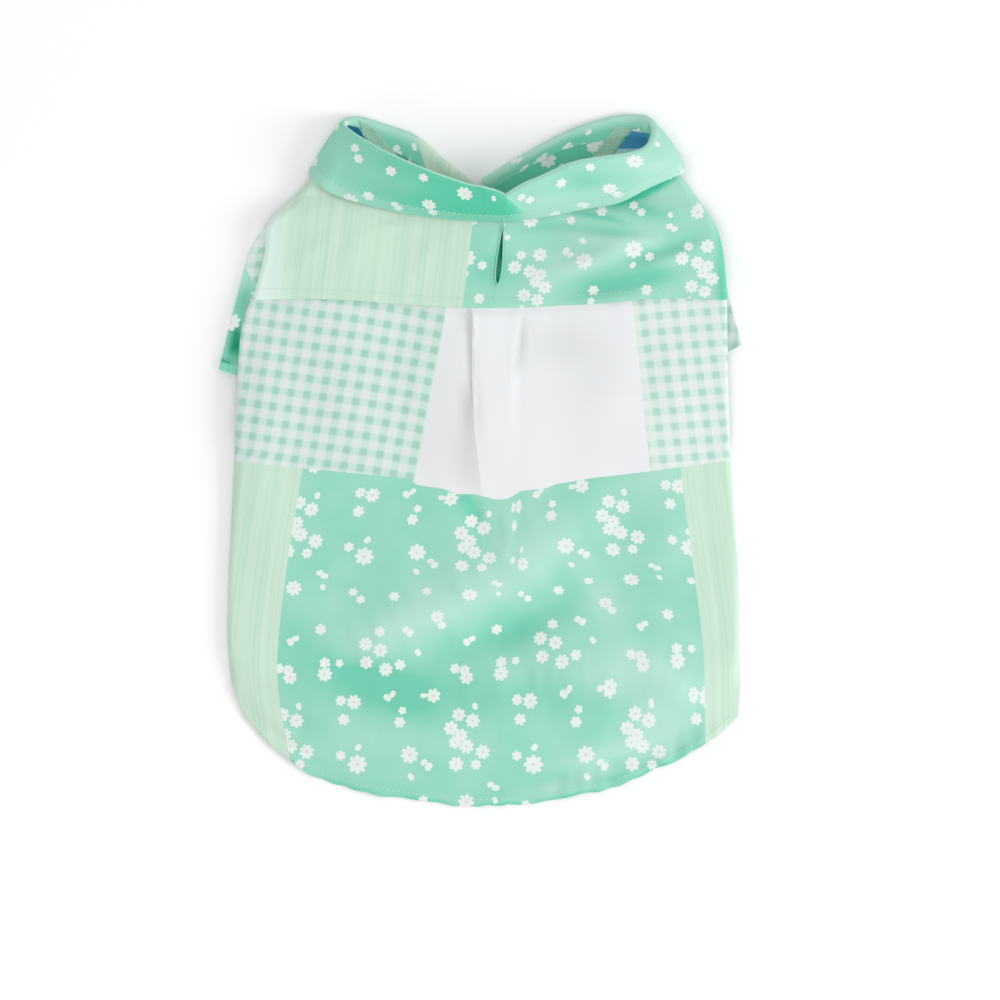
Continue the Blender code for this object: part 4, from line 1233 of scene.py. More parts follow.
def collar_marks(grid, down):
    x, y = grid[..., 0], grid[..., 1]
    far = np.broadcast_to(np.clip(8 - grid[:, ROLL, 2], -1, 1)[:, None], down.shape)
    pale = np.minimum(-side_of(PALE_EDGE + [(-22, 120)], x, y), 9 * (2 - x))
    pale = np.where(far > 0, pale, OUTSIDE)
    pale[len(grid) // 2:] = OUTSIDE
    shade = left_of_tuck(x, y, 22) * (0.03 + 0.6 * bell(np.clip(4 - x, 0, 200), 40))
    return {
        "pale": pale,
        "tone": collar_tone(x, y, down, far),
        # Painted shade on the leaf's shaded half and down inside the neck.
        "painted_shade": np.where(down > LEAF_FACE, shade, 0.5 * ramp(down, -3, -6)),
        # A thin painted highlight along the roll of the standing half.
        "roll": 0.5 - np.abs(down) + np.where(far > 0, FAR_OUTSIDE, 0),
        "hem": LEAF_HEM - from_leaf_edge(down),
    }


wall_shares = np.full(collar_down.shape, CLOTH_SHARE)
wall_shares[:, -3:] = EDGE_SHARE
wall_shares[:, :2] = SEAM_SHARE
collar = cloth_piece("collar_cloth", collar_rows, collar_cut(collar_rows, collar_down),
                     collar_marks(collar_rows, collar_down), COLLAR_WALL, 0, hem=wall_shares)
dress(collar, collar_cotton())

# %% [markdown]
# ## The yoke
#
# The yoke runs from the seam on the back up to the neck. It lies over the back panel at its lower
# edge, where both are turned and topstitched, and it is creased under the collar's right half.

# %% Creases and shade of the yoke
YOKE_CREASES = folds(
    (22, 90, 50, 96, 86, 112, 4.5, 1.1), (44, 84, 74, 88, 108, 98, 5, -1.2),
    (60, 90, 88, 96, 112, 108, 4, 1.2), (38, 117, 60, 114, 86, 112, 2.6, -1.1),
    (40, 112, 62, 109, 92, 108, 4, 0.8), (70, 101, 90, 103, 110, 111, 3.5, -0.8),
    (14, 104, 34, 102, 50, 98, 4, 0.6), (-60, 125, -54, 122, -36, 117, 2.2, -0.7),
    (-52, 116, -44, 118, -30, 116, 3.0, 0.6), (-96, 96, -80, 104, -70, 118, 5, 0.8),
    (-40, 84, -30, 96, -26, 110, 5, 0.5), (16, 116, 30, 116, 46, 119, 2.4, -0.6),
)

# Only tone: shaded slopes, and the deep gap under the collar's raised corner.
YOKE_SHADES = folds(
    (64, 127, 82, 125, 98, 120, 4, -1.1), (41, 123.5, 58, 122.5, 73, 117.5, 1.4, -1.4),
    (2, 104, 6, 96, 4, 84, 12, -0.9), (46, 86, 70, 88, 96, 98, 7, -1.0),
    (70, 96, 92, 100, 114, 110, 5, -0.8), (86, 100, 108, 98, 118, 92, 6, -0.6),
    (82, 101, 96, 98, 110, 95, 6, 0.9),
)
# Painted shade in the gap under the collar's raised corner and along the slit.
YOKE_PAINTED_SHADE = folds(
    (64, 126, 84, 133, 99, 143.5, 2.0, 1.8), (10.4, 118, 9.4, 104, 8.0, 88, 1.6, 0.9),
)
print(len(YOKE_CREASES), "creases on the yoke")

# %% [markdown]
# The cloth is a patch between the seam and the neck, with both sides rolled over. Its rows are
# close together at the seam, whose turned edge makes a small ridge.

# %% The yoke's grid
YOKE_COLUMNS, YOKE_ROWS = 110, 52
AT_SEAM, OVER_SEAM = [0, 0.006, 0.014, 0.025], 0.04
NECK_CURVE, NECK_STILL = 1.15, 9
SEAM_RIDGE, SEAM_DIP = 0.35, 0.6


def yoke_patch():
    neck = Line(neck_edge(NAPE_FIRST, NAPE_LAST))
    left, right = neck.at(0), neck.at(1)
    return Patch(Line(YOKE_SEAM), neck, Line(YOKE_LEFT + [(left.x, left.y)]),
                 Line(YOKE_RIGHT + [(right.x, right.y)]))


def yoke_grid():
    patch = yoke_patch()
    neck = patch.top
    reach = (neck.at(0.5) - Vector((0, YOKE_SEAM[3][1], 0))).y

    def top_of(x, y, s, t):
        near = math.exp(-((1 - t) * reach / NECK_REACH) ** NECK_CURVE)
        level = top_level(x, y)
        return level + (neck.at(s).z - level) * near

    across = [k / YOKE_COLUMNS for k in range(YOKE_COLUMNS + 1)]
    places = AT_SEAM + [OVER_SEAM + (1 - OVER_SEAM) * k / YOKE_ROWS for k in range(YOKE_ROWS + 1)]
    grid = np.array([[tuple(p) for p in back_row(patch, t, across, top_of,
                                                 lambda edge, t: edge_levels(edge.x, edge.y),
                                                 lambda y: 1.0)] for t in places])
    x, y = grid[..., 0], grid[..., 1]
    share = inner_share(grid)
    seam = side_of(YOKE_SEAM[::-1], x, y)
    from_neck = np.clip((1 - np.array(places)) * NECK_STILL, 0, 1)[:, None]
    grid[..., 2] += share * from_neck * (creases(YOKE_CREASES, x, y) + ripples(x, y, 17, 0.4, 1.3))
    grid[..., 2] += share * (SEAM_RIDGE * bell(seam - 2, 2.2) - SEAM_DIP * bell(seam, 0.8))
    return grid


yoke_rows = yoke_grid()
print("yoke's neck edge, mm high:", round(yoke_rows[-1, :, 2].max(), 1))

# %% [markdown]
# The leash slit is a real opening. It is cut with a Boolean through a tall lens shape, which keeps
# the yoke's own grid simple. The yoke was cut with the print upside down, so its place in the
# print is turned round one named flower.

# %% The slit, and the yoke's print
Anchor = namedtuple("Anchor", "x y u v")
YOKE_PRINT = Anchor(28.7, 102.3, -13.5, -43.9)     # (u, v) of the print lies at (x, y)
YOKE_STRETCH, YOKE_LEAN = (1.055, 1.1), 0.05
YOKE_STRIPES = [(-11.9, 60), (-2.3, 140)]
SLIT_STEPS, SLIT_LENS, CUTTER_HEIGHT = 16, 0.55, 30


def slit_outline(width):
    """The slit's outline: a lens, widest below its middle."""
    low, high = Vector(SLIT_BOTTOM), Vector(SLIT_TOP)
    side = Vector((high.y - low.y, low.x - high.x)).normalized() * width / 2
    places = [k / SLIT_STEPS for k in range(SLIT_STEPS + 1)]
    left = [low.lerp(high, u) - side * math.sin(math.pi * u ** SLIT_LENS) for u in places]
    right = [low.lerp(high, u) + side * math.sin(math.pi * u ** SLIT_LENS) for u in places[-2:0:-1]]
    return left + right


def cut_slit(piece):
    """Takes a prism over the slit's outline away from the cloth."""
    mesh = bpy.data.meshes.new("slit")
    build = bmesh.new()
    face = build.faces.new([build.verts.new(on_table((p.x, p.y, 1))) for p in slit_outline(SLIT_WIDTH)])
    raised = bmesh.ops.extrude_face_region(build, geom=[face])["geom"]
    for vert in [item for item in raised if isinstance(item, bmesh.types.BMVert)]:
        vert.co.z += CUTTER_HEIGHT * MM
    bmesh.ops.recalc_face_normals(build, faces=build.faces[:])
    build.to_mesh(mesh)
    build.free()
    cutter = add_object("slit", mesh)
    cut = piece.modifiers.new("slit", "BOOLEAN")
    cut.operation = "DIFFERENCE"
    cut.object = cutter
    plain_mesh(piece)
    bpy.data.objects.remove(cutter, do_unlink=True)


def yoke_marks(x, y):
    return {
        "stripes": -side_of(YOKE_STRIPES, x, y),
        # Painted light and shade from the creases, and painted shade along the right edge.
        "tone": np.clip(0.3 + 0.7 * creases(YOKE_CREASES, x, y) + creases(YOKE_SHADES, x, y)
                        - 1.5 * ramp(x, 115, 5), -1, 1),
        # A painted light on the left edge, where the rolled side would be in shade.
        "side": ramp(x, -93, -17),
        # Painted shade in the gap under the collar, along the slit and at the right edge.
        "painted_shade": np.clip(0.8 * creases(YOKE_PAINTED_SHADE, x, y) + 0.3 * ramp(x, 117, 4), 0, 1),
    }


def turned_print(x, y):
    east, north = x - YOKE_PRINT.x, y - YOKE_PRINT.y
    return np.stack([YOKE_PRINT.u - YOKE_STRETCH[0] * east,
                     YOKE_PRINT.v - YOKE_STRETCH[1] * (north - YOKE_LEAN * east)], -1)


yoke_place = rolled_cut(yoke_rows)
yoke = cloth_piece("yoke_cloth", yoke_rows, turned_print(yoke_place[..., 0], yoke_place[..., 1]),
                   yoke_marks(yoke_place[..., 0], yoke_place[..., 1]))
cut_slit(yoke)
dress(yoke, yoke_cotton())

# %% [markdown]
# ## The back panel
#
# The back is the largest piece. It has one box pleat under the yoke seam, whose left fold keeps a
# sharp lip almost down to the patchwork's edge, big lazy folds across the flower print and a
# rounded tail with a narrow turned hem. The folds are tables of curves, as for the yoke.

# %% Creases and shade of the back
BACK_CREASES = folds(
    (-96, -92, -50, -112, -6, -118, 8, -1.6), (-6, -118, 30, -114, 66, -122, 8, -1.3),
    (-24, -98, 16, -90, 54, -62, 7, -1.3), (-60, -90, -34, -80, 6, -68, 8, 1.2),
    (6, -66, 28, -56, 46, -30, 8, 1.2), (74, -98, 92, -106, 106, -126, 8, 1.6),
    (12, -18, 13, -34, 12, -52, 3.0, 0.7), (-5, -19, -4, -26, -1, -34, 3.2, -1.3),
    (5, -164, 40, -157, 84, -146, 4, -0.9), (20, -158, 50, -150, 92, -140, 4, 0.8),
    (66, -150, 88, -140, 104, -137, 3, -0.7), (-118, -118, -100, -136, -80, -150, 4, 0.8),
    (-108, -130, -92, -148, -70, -158, 3, -0.6), (-60, -155, -30, -160, -4, -161, 4, 0.6),
    (-112, 60, -108, 20, -114, -30, 5, 0.6), (88, 60, 96, 34, 104, 12, 6, 0.7),
    (30, 66, 52, 56, 66, 40, 8, -0.6), (22, 40, 44, 28, 70, 26, 8, 0.6),
    (-30, 60, -34, 36, -30, 10, 7, 0.5), (20.6, 74, 19.6, 58, 17.3, 43, 1.3, -0.8),
    (17, 44, 26, 38, 40, 36, 4, -0.4),
)
# Only tone: slopes of the broad folds that turn from the light or towards it.
BACK_TONES = folds(
    (-86, -108, -56, -120, -14, -130, 11, -0.9), (-34, -150, -24, -158, -6, -166, 9, -0.5),
    (62, -146, 88, -138, 106, -124, 12, 1.3), (46, -46, 60, -66, 70, -92, 9, 0.7),
    (42, -162, 52, -156, 62, -148, 8, 0.6), (56, -160, 66, -161, 76, -156, 2.2, -0.9),
    (76, -152, 84, -154, 90, -150, 2, -0.9), (96, -147, 100, -146, 104, -143, 2, -1.0),
    (26, -165, 34, -164, 42, -163, 4, 0.8), (-10, -15, -7, -23, -3, -32, 3, -1.4),
    (-68, -98, -54, -98, -38, -92, 6, 0.5),
)
print(len(BACK_CREASES), "creases and", len(BACK_TONES), "shaded slopes on the back")

# %% [markdown]
# ## The pleat's lip
#
# A fold of cloth turns back under itself, which a plain grid in x and y cannot do. So the grid gets
# a tight set of columns at the pleat, and these columns are slid and raised into a lip.

# %% The pleat's lip
FOLD_LINE = [(-30, 0.6), (-17, -0.6), (14, -4.2), (38, -5.6), (76, PLEAT_LEFT)]
Lip = namedtuple("Lip", "offset slide rise")
LEFT_LIP = [Lip(-3.4, 0, 0), Lip(-2.0, 0.5, -0.25), Lip(-1.0, 1.3, -0.3), Lip(-0.4, 1.9, 0.1),
            Lip(-0.15, 1.3, 0.75), Lip(0.1, 0.3, 1.1), Lip(0.5, 0, 1.15), Lip(1.6, 0, 1.05)]
LIP_MIDDLE, LIP_PULL, LIP_ROOM = 4, 16, 0.004
BACK_COLUMNS = 116


def read(table, place):
    """The value in a table of pairs at a place, straight between its rows."""
    return np.interp(place, *zip(*table))


def back_columns():
    """Shares across the panel: even, with a tight set at the pleat's lip."""
    width = BACK_TOP[-1][0] - BACK_TOP[0][0]
    shares = [k / BACK_COLUMNS for k in range(BACK_COLUMNS + 1)]
    lips = [(PLEAT_LEFT + lip.offset - BACK_TOP[0][0]) / width for lip in LEFT_LIP]
    shares = [s for s in shares if not lips[0] - LIP_ROOM < s < lips[-1] + LIP_ROOM]
    return sorted(shares + lips), lips


def fold_pleat(grid, first):
    """Folds the columns from first on into the pleat's lip, fading towards the tail."""
    middle = first + LIP_MIDDLE
    y = grid[:, middle, 1]
    shift = (read(FOLD_LINE, y) - grid[:, middle, 0]) * ramp(y, -60, 40)
    grid[..., 0] += shift[:, None] * bell(grid[..., 0] - grid[:, middle, 0][:, None], LIP_PULL)
    fade = ramp(y, 26, 22) ** 0.7 * np.clip((PLEAT_TOP + 0.6 - y) / 5, 0.1, 1)
    for k, lip in enumerate(LEFT_LIP):
        grid[:, first + k, 0] += lip.slide * fade
        grid[:, first + k, 2] += lip.rise * fade


print("columns across the back:", len(back_columns()[0]))

# %% [markdown]
# The tail hem is folded twice and stitched by machine, which draws it up a little: it waves, and it
# puckers towards the right. The top edge carries on under the yoke as a seam allowance.

# %% Hem and seam allowance
HEM_WAVE, HEM_THICKNESS, HEM_PUCKER, EDGE_WAVE = 0.8, 0.35, 0.42, 1.0
BACK_LENGTH, HEM_MIDDLE, HEM_HALF = 208, 2.0, 1.9
ALLOWANCE, ALLOWANCE_SINK = 1.2, 0.35


def hem_waves(grid, down, share):
    """The tail hem: a doubled edge that waves a little and puckers towards the right."""
    x = grid[..., 0]
    up = 1 - down
    wave = np.sin(x / 5.3) * 0.35 + np.sin(x / 8.1 + 1.7) * 0.45 + 0.5
    grid[..., 2] += bell(up, 0.03) * share * wave * HEM_WAVE
    grid[..., 2] += HEM_THICKNESS * share * (np.abs(up * BACK_LENGTH - HEM_MIDDLE) < HEM_HALF)
    edge = np.sin(x / 6.1 + 0.4) * 0.45 + np.sin(x / 2.3 + 1.9 * np.sin(x / 11)) * 0.4
    grid[..., 1] += bell(up, 0.02) * share * edge * EDGE_WAVE
    pucker = 1 + np.sin(x / 1.9 + 2.3 * np.sin(x / 9 + 0.7))
    pucker *= 0.15 + 0.85 * ramp(x, 15, 30)
    grid[..., 2] += bell(up, 0.045) * share * pucker * HEM_PUCKER


def add_seam_allowance(grid, share):
    """Sinks the top edge and carries it on under the yoke."""
    seam = side_of(BACK_TOP, grid[..., 0], grid[..., 1])
    grid[..., 2] -= (0.2 + 0.65 * share) * bell(np.clip(seam, 0, 60), 1.6)
    under = grid[0].copy()
    under[:, 1] += ALLOWANCE + 2.0 * share[0]
    under[:, 2] -= ALLOWANCE_SINK
    return np.concatenate([under[None], grid])


print("hem, mm thicker than the cloth:", HEM_THICKNESS)

# %% [markdown]
# Now the whole panel: a patch between the seam, the sides and the hem, rolled over at both sides
# and falling to the table along the tail.

# %% The back's grid
TAIL_FALL = [(0, 1), (0.84, 1), (0.9, 0.65), (0.95, 0.25), (1, 0)]
TAIL_GROUND = CAD_WALL + 0.05
BACK_ROWS = 108
UNDER_SEAM, PAST_SEAM = [0, 0.004, 0.009, 0.015], 0.02


def back_grid():
    patch = Patch(Line(BACK_TOP), Line(BACK_HEM), Line(BACK_LEFT), Line(BACK_RIGHT))

    def top_of(x, y, s, t):
        return TAIL_GROUND + (top_level(x, y) - TAIL_GROUND) * float(read(TAIL_FALL, t))

    def levels_of(edge, t):
        low, high = edge_levels(edge.x, edge.y)
        share = float(read(TAIL_FALL, t))
        return low * share, TAIL_GROUND + (high - TAIL_GROUND) * share

    def wrap_of(y):
        return 1 - smooth_step((BELLY_CORNER - y) / UNROLL_LENGTH)

    across, lips = back_columns()
    places = UNDER_SEAM + [PAST_SEAM + (1 - PAST_SEAM) * k / BACK_ROWS for k in range(BACK_ROWS + 1)]
    grid = np.array([[tuple(p) for p in back_row(patch, t, across, top_of, levels_of, wrap_of)]
                     for t in places])
    fold_pleat(grid, len(EDGE_ANGLES) + across.index(lips[0]))
    x, y = grid[..., 0], grid[..., 1]
    share = inner_share(grid)
    down = np.array(places)[:, None]
    calm = np.clip(down * 14, 0, 1) * np.clip((1 - down) * 30, 0.15, 1)
    grid[..., 2] += share * calm * creases(BACK_CREASES, x, y)
    grid[..., 2] += share * ripples(x, y, 24, 0.7, 7.7) * np.clip((1 - down) * 12, 0.2, 1)
    grid[..., 2] += share * ripples(x * 2.2, y * 0.5, 16, 0.5, 3.2) * np.exp(-down / 0.05)
    hem_waves(grid, down, share)
    return add_seam_allowance(grid, share)


back_rows = back_grid()
print("highest point of the back, mm:", round(back_rows[..., 2].max(), 1))

# %% [markdown]
# ## How the print is pulled
#
# The pleat takes in cloth, and below it the print spreads again; the sagging waist dips. So each
# point of the laid back is looked up in the flat print through a short table of pulls.

# %% How the print is pulled
# At each y: the shift of the left half, the gap that the pleat takes in, how much of the waist's dip
# is left, and how far the right rides up.
Pull = namedtuple("Pull", "y left intake dip ride")
PULLS = [Pull(*row) for row in [
    (-130, 0.3, 0, 0, 0), (-122, 0.4, 0, 0, 0.15), (-113, 0.5, 0, 0, 0.6),
    (-100, 0.8, 0, 0, 0.95), (-85, 1.2, 1.2, 0.02, 1), (-75, 1.6, 3.4, 0.14, 1),
    (-62, 2.4, 7, 0.55, 0.62), (-56, 3.0, 9.4, 0.75, 0.36), (-48, 3.8, 12.7, 0.97, 0.1),
    (-40, 4.9, 15, 1, 0), (-30, 6.6, 18.5, 1, 0), (-20, 9, 22, 1, 0), (-10, 12.3, 26, 1, 0),
]]
WAIST = [(-123, 0), (-80, 3), (-60, 4.2), (-34, 7), (-5, 11.5), (13, 12.5), (20, 9.5), (28, 6.2), (36, 4.6),
         (50, 3.2), (63, 1.5), (84, 0.4), (125, 0)]
RIDE = 7.5
SQUEEZE, SQUEEZE_X, SQUEEZE_RUN = 2.4, -73, 42


def pulled_print(x, y):
    """Where each point of the back lies in the flat print."""
    levels = [row.y for row in PULLS]
    left, intake, dip, ride = (np.interp(y, levels, [row[k] for row in PULLS]) for k in (1, 2, 3, 4))
    squeeze = SQUEEZE * np.clip((SQUEEZE_X - x) / SQUEEZE_RUN, 0, 2) ** 2 * ramp(y, -4, 8)
    over = ramp(x, 6, 20)
    over = over * over * (3 - 2 * over)
    dipped = y + read(WAIST, x) * dip
    return np.stack([x - left + intake * over - squeeze, dipped - RIDE * ride * ramp(x, 5, 60)], -1)


middle_pull = pulled_print(np.array([0.0]), np.array([0.0]))[0]
print("the middle of the back lies in the print at", np.round(middle_pull, 1))

# %% [markdown]
# ## Patches and marks of the back
#
# The borders of the patchwork are lines on the cloth, and each point keeps its distance to them.
# The material reads these marks, so a border stays crisp however the grid is spaced.

# %% Patches and marks of the back
# The lower border of the gingham and the white, and the shaded side of the pleat's folds.
PATCH_EDGE = [(-150, 2), (-122.8, -1), (-78, -5.2), (-36, -9.3), (-33, -12.4), (-19, -14.4), (-13.5, -17),
              (-4, -17), (6, -19.6), (12, -19.7), (19.5, -15.4), (31, -14.3), (37, -12), (56, -8.8),
              (84, -5.6), (125.3, 0), (150, 3)]
WHITE_SHADES = folds(
    (20.6, 73, 19.6, 58, 17.3, 43, 1.8, 0.7), (26, 66, 38, 54, 56, 56, 12, 0.28),
    (-30, 76, -28, 30, -32, -20, 24, 0.36),
)
PLEAT_SHADES = folds(
    (-6, 76, -6.2, 60, -5.6, 48, 1.3, 0.5), (-6, 40, -7, 28, -5, 8, 4.5, 0.8),
    (-8, 16, -6, -2, -2, -20, 8, 0.55),
)
WHITE_LEFT, WHITE_RIGHT = [(-36.8, -25), (-15.2, 90)], [(73.6, 90), (85.9, -25)]
STRIP_LEFT = [(-87.5, 10), (-89.8, -5), (-97.2, -50), (-102.3, -95), (-101.3, -120), (-96, -150), (-91, -172)]
STRIP_RIGHT = [(113, -160), (111.3, -137.5), (110.3, -95), (104.8, -50), (98.8, -5), (97, 10)]
RIGHT_HALF, HEM_SHADE = 40, 1.2


def back_marks(x, y):
    beside = np.clip((read(FOLD_LINE, y) + 0.8 - x) / 0.8, 0, 1)
    return {
        "band": -side_of(PATCH_EDGE, x, y, 1),
        "white_left": side_of(WHITE_LEFT, x, y),
        "white_right": side_of(WHITE_RIGHT, x, y),
        # Painted shade on the white, beside the pleat's folds and in its soft creases.
        "fold": np.clip(creases(WHITE_SHADES, x, y) + beside * creases(PLEAT_SHADES, x, y), 0, 1),
        "strip_left": side_of(STRIP_LEFT, x, y),
        "strip_right": side_of(STRIP_RIGHT, x, y),
        "right_side": x - RIGHT_HALF,
        # Painted shade along the tail's edge.
        "painted_shade": (0.6 + 0.25 * np.sin(x / 6.1)) * bell(side_of(BACK_HEM, x, y), HEM_SHADE),
        # Painted light and shade from the slopes of the creases and folds.
        "tone": np.clip(0.42 * creases(BACK_CREASES, x, y) + 0.25 * creases(FOLDS, x, y)
                        + creases(BACK_TONES, x, y), -1, 1),
    }


back_place = rolled_cut(back_rows)
marks = back_marks(back_place[..., 0], back_place[..., 1])
printed = pulled_print(back_place[..., 0], back_place[..., 1])
marks = {title: mark[::-1] for title, mark in marks.items()}
back = cloth_piece("back_cloth", back_rows[::-1], printed[::-1], marks)
dress(back, back_cotton())

# %% [markdown]
# ## The fronts
#
# The belly fronts lie under everything. Only their inner faces show, deep in the neck opening, but
# they are whole pieces: each follows the back's turned-under edge, leaves the armhole open and laps
# over its neighbour at the middle. They are plain where nothing of them can be seen.

# %% The fronts
Front = namedtuple("Front", "name side over column armhole shift")
FRONTS = [
    Front("front_left_cloth", -1, 1, 0, ARMHOLE_LEFT, (-26.5, -189.5)),
    Front("front_right_cloth", 1, 0, -1, ARMHOLE_RIGHT, (-69, -189.5)),
]
LAP_FOOT, LAP_MIDDLE, LAP_TOP = -41, 40, 124
LAP_STEPS = (25.0, 22, 19.4, 15, 9.6, 4.5, 0.0)      # columns near the middle edge, mm from it
FRONT_COLUMNS, SIDE_GAP, NECK_RUN = 44, 0.8, 8
FRONT_ROWS = [k / 42 for k in range(33)] + [0.78 + 0.22 * k / 26 for k in range(27)]


def seam_points(grid, column):
    """Every third point of a rolled side, upwards."""
    points = sorted((Vector(p) for p in grid[:, column]), key=lambda p: p.y)
    return points[::3] + [points[-1]]


def front_patch(front):
    """From the hem to the neck, and from the side to the middle edge."""
    throat = neck_edge(0, NAPE_FIRST)[::-1] if front.side < 0 else neck_edge(NAPE_LAST, len(COLLAR) - 1)
    edge_x = -front.side * LAP
    neck = Line(throat + [Vector((edge_x, LAP_TOP, LEAF_LIFT + front.over * LAP_RISE))])
    belly = [p for p in seam_points(back_rows, front.column) if BELLY_CORNER < p.y < UNDERARM]
    upper = [p for p in seam_points(yoke_rows, front.column) if SHOULDER < p.y]
    outline = Line(belly + [Vector((x, y, SLEEVE_LIFT)) for x, y in front.armhole] + upper, 4)
    hem = Line([plan(belly[0])] + [(front.side * x, y) for x, y in BELLY_HEM] + [(edge_x, LAP_FOOT)])
    middle = Line([(edge_x, LAP_FOOT), (edge_x, LAP_MIDDLE), (edge_x, neck.at(1).y)])
    return Patch(hem, neck, outline, middle)


def front_grid(front):
    patch = front_patch(front)
    neck, outline = patch.top, patch.left

    def low_of(x, y, s, t):
        level = lift(x, y) + front.over * LAP_RISE * smooth_step((x + LAP + 6) / 5)
        return level + (neck.at(s).z - level) * math.exp(-(1 - t) * outline.length / NECK_RUN)

    rows = []
    inset = CAD_WALL / 2 + SIDE_GAP
    for t in FRONT_ROWS:
        edge = patch.at(0, t)
        width = (patch.at(1, t) - edge).length
        square = edge + inward_of(patch, 0, t) * inset - patch.at(inset / width, t)
        extra = outline.at(t).z - low_of(edge.x, edge.y, 0, t)
        reach = width - LAP_STEPS[0] - inset
        places = [inset + reach * k / FRONT_COLUMNS for k in range(FRONT_COLUMNS)]
        row = []
        for place in places + [width - step for step in LAP_STEPS]:
            near_side = math.exp(-(place - inset) / SIDE_BLEND)
            spot = patch.at(place / width, t) + square * near_side
            level = low_of(spot.x, spot.y, place / width, t) + extra * near_side
            row.append((spot.x, spot.y, level))
        rows.append(row[::front.side])
    return np.array(rows)


def make_front(front):
    grid = front_grid(front)
    x, y = grid[..., 0], grid[..., 1]
    plain = np.full(x.shape, OUTSIDE)
    border = -side_of(PALE_EDGE + [(-22, 110)], x, y)
    marks = {"pale": np.where(y > 112, border, OUTSIDE) if front.side < 0 else plain,
             # Painted shade on the fronts, which show through the slit and far down in the neck.
             "tone": np.full(x.shape, -0.2), "painted_shade": np.where(y < 122, 1.0, 0.6),
             "hem": plain + FAR_OUTSIDE - OUTSIDE, "roll": plain + FAR_OUTSIDE - OUTSIDE}
    piece = cloth_piece(front.name, grid, grid[..., :2] + np.array(front.shift), marks)
    dress(piece, collar_cotton())


for front in FRONTS:
    make_front(front)

# %% [markdown]
# ## The sleeves
#
# Each short sleeve is a tube pressed flat under the side, with two rounded folds and a turned cuff.
# On the left most of it peeps out past the body, on the right only a corner. A row of the tube is
# a ring, so the grid is closed, and its middle falls on the hidden inner fold.

# %% One ring of a sleeve
SLEEVE_ROWS, FLAT_POINTS, FOLD_STEP = 46, 22, 20


def sleeve_ring(a, b):
    """Round the outer fold at a, along the table, round the inner fold at b and back on top."""
    radius = SLEEVE_HEIGHT / 2
    into = (b - a).normalized()
    ring = []
    for fold, far, sign, start in ((a, b, 1, 90), (b, a, -1, 270)):
        middle = fold + into * radius * sign
        end = far - into * radius * sign
        for turn in range(0, 181, FOLD_STEP):
            angle = math.radians(start + turn)
            spot = middle + into * math.cos(angle) * radius
            ring.append((spot.x, spot.y, radius + radius * math.sin(angle)))
        for j in range(1, FLAT_POINTS):
            spot = middle.lerp(end, j / FLAT_POINTS)
            ring.append((spot.x, spot.y, 0 if sign > 0 else SLEEVE_HEIGHT))
    return np.array(ring)


def sleeve_grid(table):
    """The tube's rings, and where each point lies in the flat cut."""
    outer = Line([(cut.outer_x, cut.outer_y) for cut in table])
    inner = Line([(cut.inner_x, cut.inner_y) for cut in table])
    rows, cuts = [], []
    for k in range(SLEEVE_ROWS):
        t = k / (SLEEVE_ROWS - 1)
        start = outer.at(t)
        ring = sleeve_ring(start, inner.at(t))
        step = np.linalg.norm(np.diff(ring, axis=0, append=ring[:1]), axis=-1)
        along = np.concatenate([[0], np.cumsum(step)[:-1]])
        along[len(ring) // 2:] -= step.sum()
        cuts.append(np.stack([start.x + along, np.full(len(ring), start.y)], -1))
        rows.append(ring)
    return np.array(rows), np.array(cuts)


print("points round a sleeve:", sleeve_grid(SLEEVE_LEFT)[0].shape[1])

# %% [markdown]
# The cuff is turned up and shows as a step near the sleeve's end. Each sleeve has its own gain, a
# painted light over its whole colour: the left one, which lies in the body's shade, is painted lighter,
# and the right one, which faces the key light, darker. The right tube is wound the other way round,
# to keep its outer face outside.

# %% The sleeves
Sleeve = namedtuple("Sleeve", "name table border hem_depth gain")
LEFT_CHECK, RIGHT_CHECK = [(-106, 70), (-113.5, 86.4), (-118.4, 96.7), (-127, 115)], [(160, 0), (60, 0)]
# The last number of each row is a painted light over the whole sleeve: above 1 on the left, below 1 on the
# right.
SLEEVES = [
    Sleeve("sleeve_left_cloth", SLEEVE_LEFT, LEFT_CHECK, 5, 1.18),
    Sleeve("sleeve_right_cloth", SLEEVE_RIGHT, RIGHT_CHECK, 9, 0.84),
]
# Painted shade: a dark line in the crease above the left cuff, and shade where the sleeve meets the body.
SLEEVE_PAINTED_SHADE = folds(
    (-133, 51.2, -129, 50, -124, 48.4, 0.7, 1.3), (-122.6, 67, -123.2, 58.5, -124.4, 51, 2.8, 1.4),
    (-117, 88, -120, 80, -122, 72, 3, 0.4),
)
SLEEVE_WAVE, CUFF_STEP, CUFF_HALF, CUT_LENGTH = 0.35, 0.4, 1.2, 74
CUFF_START, CUFF_SHARE, TUBE_SHARE = 0.95, 1.0, 0.75


